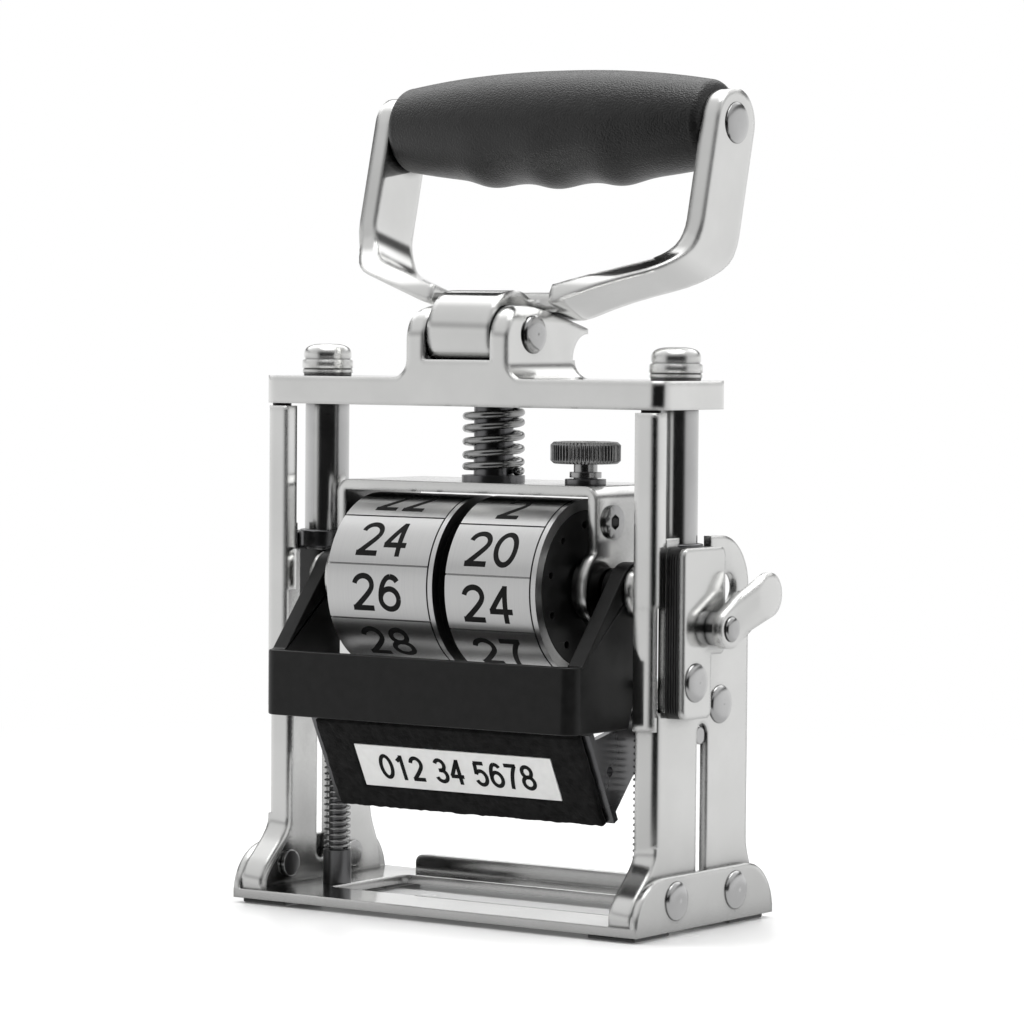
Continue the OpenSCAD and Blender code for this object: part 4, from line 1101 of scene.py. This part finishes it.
@dataclass
class InkPad:
    """The felt pad inside the ink tray."""

    half: float = 36.9
    front: float = -27.8
    depth: float = 4.0
    low: float = 44.5
    high: float = 57.1
    steps: tuple[int, int] = (140, 40)
    fuzz: float = 0.1
    grain: tuple[float, int] = (0.6, 9)

    def build(self, paint: Paint) -> None:
        """Makes the pad as a soft slab: a rounded outline carried from its back to its crowned face.

        Args:
            paint: The built materials.
        """
        ring = Die.frame_edge(1.0, 2.0, 0.0, self.steps)
        inset = np.array([0.0, 0.0, 0.0, 0.3, 1.0, 2.0, 3.5, 5.0, 6.2])
        place = np.array([0.0, 1.6, 3.2, 3.7, 3.95, 4.05, 4.1, 4.12, 4.12])
        place /= place[-1]
        half_h = (self.high - self.low) / 2
        x = ring[None, :, 0] * (self.half - inset[:, None])
        z = ring[None, :, 1] * (half_h - inset[:, None]) + (self.low + self.high) / 2
        y = np.broadcast_to(self.front + self.depth * place[:, None], x.shape)
        points = np.stack([x, y, z], -1)
        points[2:, :, 1] += self.fuzz * value_noise(points, *self.grain)[2:]
        pad = add_grid("ink_felt", points, caps=True)
        mount(pad, paint, "felt", "bail", "ink_pad")


# Studio


@dataclass
class Studio:
    """A plain white floor, soft lamps and the camera."""

    azimuth: float = 35.0
    distance: float = 0.935
    eye: float = 0.128
    focal_px: float = 4225.0
    image: int = 1024
    sensor: float = 36.0
    roll: float = 0.45
    side_shift: float = 0.0036
    down: float = 2.4
    aim: Triple = (0.0, 0.0, 0.09)
    opening: Pair = (0.54, 0.80)
    opening_top: Pair = (0.30, 0.65)
    back_wall: float = 0.93
    front_wall: float = 0.53
    gap: Pair = (0.9, 0.35)
    gap_low: Pair = (0.18, 0.24)
    gap_high: Pair = (0.34, 0.46)
    gap_turn: Pair = (-0.5, 0.1)
    upper: Pair = (0.9, -0.05)
    upper_turn: Pair = (-0.9, -0.3)
    ceiling: float = 3.0
    ceiling_edge: Pair = (0.90, 0.98)
    dark: float = 0.02
    fill: float = 0.5
    near_floor: float = 0.6
    near_edge: Pair = (0.12, 0.24)
    shadow_edge: Pair = (0.10, 0.45)
    floor_rings: tuple[float, ...] = (0.05, 300.0, 1000.0, 6000.0, 30000.0)
    floor_steps: int = 96
    floor_tone: float = 0.93
    floor_rough: Pair = (0.22, 0.3)
    room: Optional[Tree] = None

    def camera(self) -> None:
        """Places the camera at the photograph's angle, with a long lens."""
        data = bpy.data.cameras.new("camera")
        data.sensor_width = self.sensor
        data.lens = self.sensor * self.focal_px / self.image
        data.clip_start = 0.01
        camera = bpy.data.objects.new("camera", data)
        bpy.context.scene.collection.objects.link(camera)
        a = math.radians(self.azimuth)
        right = Vector((math.cos(a), math.sin(a), 0))
        ahead = Vector((-math.sin(a), math.cos(a), 0))
        place = -self.distance * ahead + self.side_shift * right
        place.z = self.eye
        tilt = Matrix.Rotation(a, 4, "Z") @ Matrix.Rotation(math.radians(90 - self.down), 4, "X")
        roll = Matrix.Rotation(math.radians(self.roll), 4, "Z")
        camera.matrix_world = Matrix.Translation(place) @ tilt @ roll
        bpy.context.scene.camera = camera

    def lamp(self, name: str, place: Sequence[float], size: Pair, watts: float) -> None:
        """Adds a rectangular soft lamp that faces the object.

        Args:
            name: Name of the lamp.
            place: Its place.
            size: Its width and height.
            watts: Its power.
        """
        data = bpy.data.lights.new(name, "AREA")
        data.shape = "RECTANGLE"
        data.size, data.size_y = size
        data.energy = watts
        lamp = bpy.data.objects.new(name, data)
        lamp.visible_glossy = False
        lamp.location = place
        lamp.rotation_euler = (Vector(self.aim) - Vector(place)).to_track_quat("-Z", "Y").to_euler()
        bpy.context.scene.collection.objects.link(lamp)

    def lights(self) -> None:
        """Sets the soft lamps around the object."""
        self.lamp("left_box", (-0.75, -0.35, 0.45), (0.5, 0.7), 7.0)
        self.lamp("right_box", (0.85, 0.05, 0.40), (0.4, 0.7), 6.0)
        self.lamp("top_box", (0.0, 0.1, 0.95), (0.8, 0.6), 7.0)

    def make_room(self) -> Tree:
        """Makes the group that tells how bright the room is in each direction.

        Polished faces mirror pale walls that grow lighter to the back, a dark gap between the walls
        and the upper screens, which are brightest at the back, a bright panel overhead, and a dark
        opening around the camera, which draws a dark stripe down every rounded face that looks
        towards it.

        Returns:
            A group that takes a direction and gives a level.
        """
        group, kit = new_group("room", {}, ("Level",))
        group.interface.new_socket(name="Way", in_out="INPUT", socket_type="NodeSocketVector")
        way = kit.add("NodeGroupInput").outputs["Way"]
        parts = kit.add("ShaderNodeSeparateXYZ", {0: way}).outputs
        a = math.radians(self.azimuth)
        facing = kit.math(
            "ADD", kit.times(parts[0], math.sin(a)), kit.times(parts[1], -math.cos(a))
        )
        flat = kit.add("ShaderNodeCombineXYZ", {0: parts[0], 1: parts[1], 2: 0.0}).outputs[0]
        run = kit.add("ShaderNodeVectorMath", {0: flat}, operation="LENGTH").outputs["Value"]
        ahead = kit.math("DIVIDE", facing, kit.math("MAXIMUM", run, 0.02))
        opening = kit.smooth(ahead, *self.opening)
        low = kit.math("SUBTRACT", 1.0, kit.smooth(parts[2], *self.opening_top))
        around = kit.span(ahead, -1.0, 1.0, self.back_wall, self.front_wall)
        rise, end = kit.smooth(parts[2], *self.gap_low), kit.smooth(parts[2], *self.gap_high)
        depth = kit.span(ahead, *self.gap_turn, *self.gap)
        band = kit.times(kit.math("SUBTRACT", rise, end), depth)
        gap = kit.math("SUBTRACT", 1.0, band)
        screens = kit.span(ahead, *self.upper_turn, *self.upper)
        high = kit.math("ADD", 1.0, kit.times(end, screens))
        over = kit.times(kit.smooth(parts[2], *self.ceiling_edge), self.ceiling)
        walls = kit.math("ADD", kit.times(kit.times(around, gap), high), over)
        shade = kit.span(kit.times(opening, low), 0.0, 1.0, 1.0, self.dark)
        kit.add("NodeGroupOutput", {"Level": kit.times(walls, shade)})
        return group

    def world(self) -> None:
        """Lights the room softly, and shows white to the camera."""
        world = bpy.data.worlds.new("room")
        kit = clear_tree(world)
        path = kit.add("ShaderNodeLightPath")
        way = kit.add("ShaderNodeTexCoord").outputs["Generated"]
        seen = path.outputs["Is Camera Ray"]
        glossy = kit.math("MAXIMUM", path.outputs["Is Glossy Ray"], path.outputs["Is Transmission Ray"])
        mirrored = kit.add("ShaderNodeGroup", {0: way}, node_tree=self.room).outputs[0]
        even = kit.times(kit.math("SUBTRACT", 1.0, glossy), self.fill)
        level = kit.math("ADD", kit.times(glossy, mirrored), even)
        strength = kit.math("MAXIMUM", seen, level)
        light = kit.add("ShaderNodeBackground", {"Color": (1, 1, 1, 1), "Strength": strength})
        kit.add("ShaderNodeOutputWorld", {"Surface": light.outputs[0]})
        bpy.context.scene.world = world

    def floor(self) -> None:
        """Lays a wide pale floor that keeps the object's shadow and fades to white around it.

        In reflections it is evenly bright near the object, and takes the room's level further off.
        """
        turn = np.linspace(0, 2 * np.pi, self.floor_steps, endpoint=False)
        reach = np.array(self.floor_rings)[:, None]
        x, y = reach * np.cos(turn), reach * np.sin(turn)
        faces = [*grid_faces(*x.shape, False, True), np.arange(len(turn))]
        floor = add_mesh("floor", np.stack([x, y, np.zeros_like(x)], -1), faces)
        material = bpy.data.materials.new("floor_white")
        kit = clear_tree(material)
        path = kit.add("ShaderNodeLightPath").outputs
        place = kit.add("ShaderNodeTexCoord").outputs["Object"]
        away = kit.add("ShaderNodeVectorMath", {0: place}, operation="LENGTH").outputs["Value"]
        far = kit.smooth(away, *self.shadow_edge)
        glossy = kit.math("MAXIMUM", path["Is Glossy Ray"], path["Is Transmission Ray"])
        shown = kit.math("MAXIMUM", kit.times(far, path["Is Camera Ray"]), glossy)
        wall = kit.add("ShaderNodeGroup", {0: place}, node_tree=self.room).outputs[0]
        beyond = kit.smooth(away, *self.near_edge)
        near = kit.span(beyond, 0.0, 1.0, self.near_floor, 0.0)
        room = kit.math("ADD", kit.times(wall, beyond), near)
        level = kit.math("MAXIMUM", path["Is Camera Ray"], kit.times(glossy, room))
        cloud = kit.add("ShaderNodeTexNoise", {"Vector": place, "Scale": 30.0})
        rough = kit.span(cloud.outputs[0], 0.0, 1.0, *self.floor_rough)
        paper = kit.add(
            "ShaderNodeBsdfPrincipled",
            {"Base Color": (*grey(self.floor_tone), 1), "Roughness": rough, "Specular IOR Level": 0.35},
        )
        glow = kit.add("ShaderNodeEmission", {"Color": (1, 1, 1, 1), "Strength": level})
        blend = kit.add("ShaderNodeMixShader", {0: shown, 1: paper.outputs[0], 2: glow.outputs[0]})
        kit.add("ShaderNodeOutputMaterial", {"Surface": blend.outputs[0]})
        floor.data.materials.append(material)

    def build(self) -> None:
        """Makes the whole studio."""
        bpy.context.scene.view_settings.view_transform = "Standard"
        self.room = self.make_room()
        self.camera()
        self.lights()
        self.world()
        self.floor()


def main() -> None:
    """Builds the stamp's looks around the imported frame."""
    logging.basicConfig(level=logging.INFO, format="%(message)s")
    for thing in list(bpy.data.objects):
        bpy.data.objects.remove(thing)
    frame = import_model()
    Studio().build()
    paint = Paint()
    CadPieces().dress(frame["nodes"], paint)
    Springs().build(paint)
    Handle().build(paint)
    Knob().build(paint)
    Drum(
        "left_figures", "wheel_left", -13.9,
        ("26", "24", "22", "20", "18", "16", "14", "12", "30", "28"),
    ).build(paint)
    Drum(
        "right_figures", "wheel_right", 15.7,
        ("24", "20", "2", "18", "15", "12", "9", "6", "30", "27"), first=-9.0,
    ).build(paint)
    Die().build(paint)
    InkPad().build(paint)


if __name__ == "__main__":
    main()
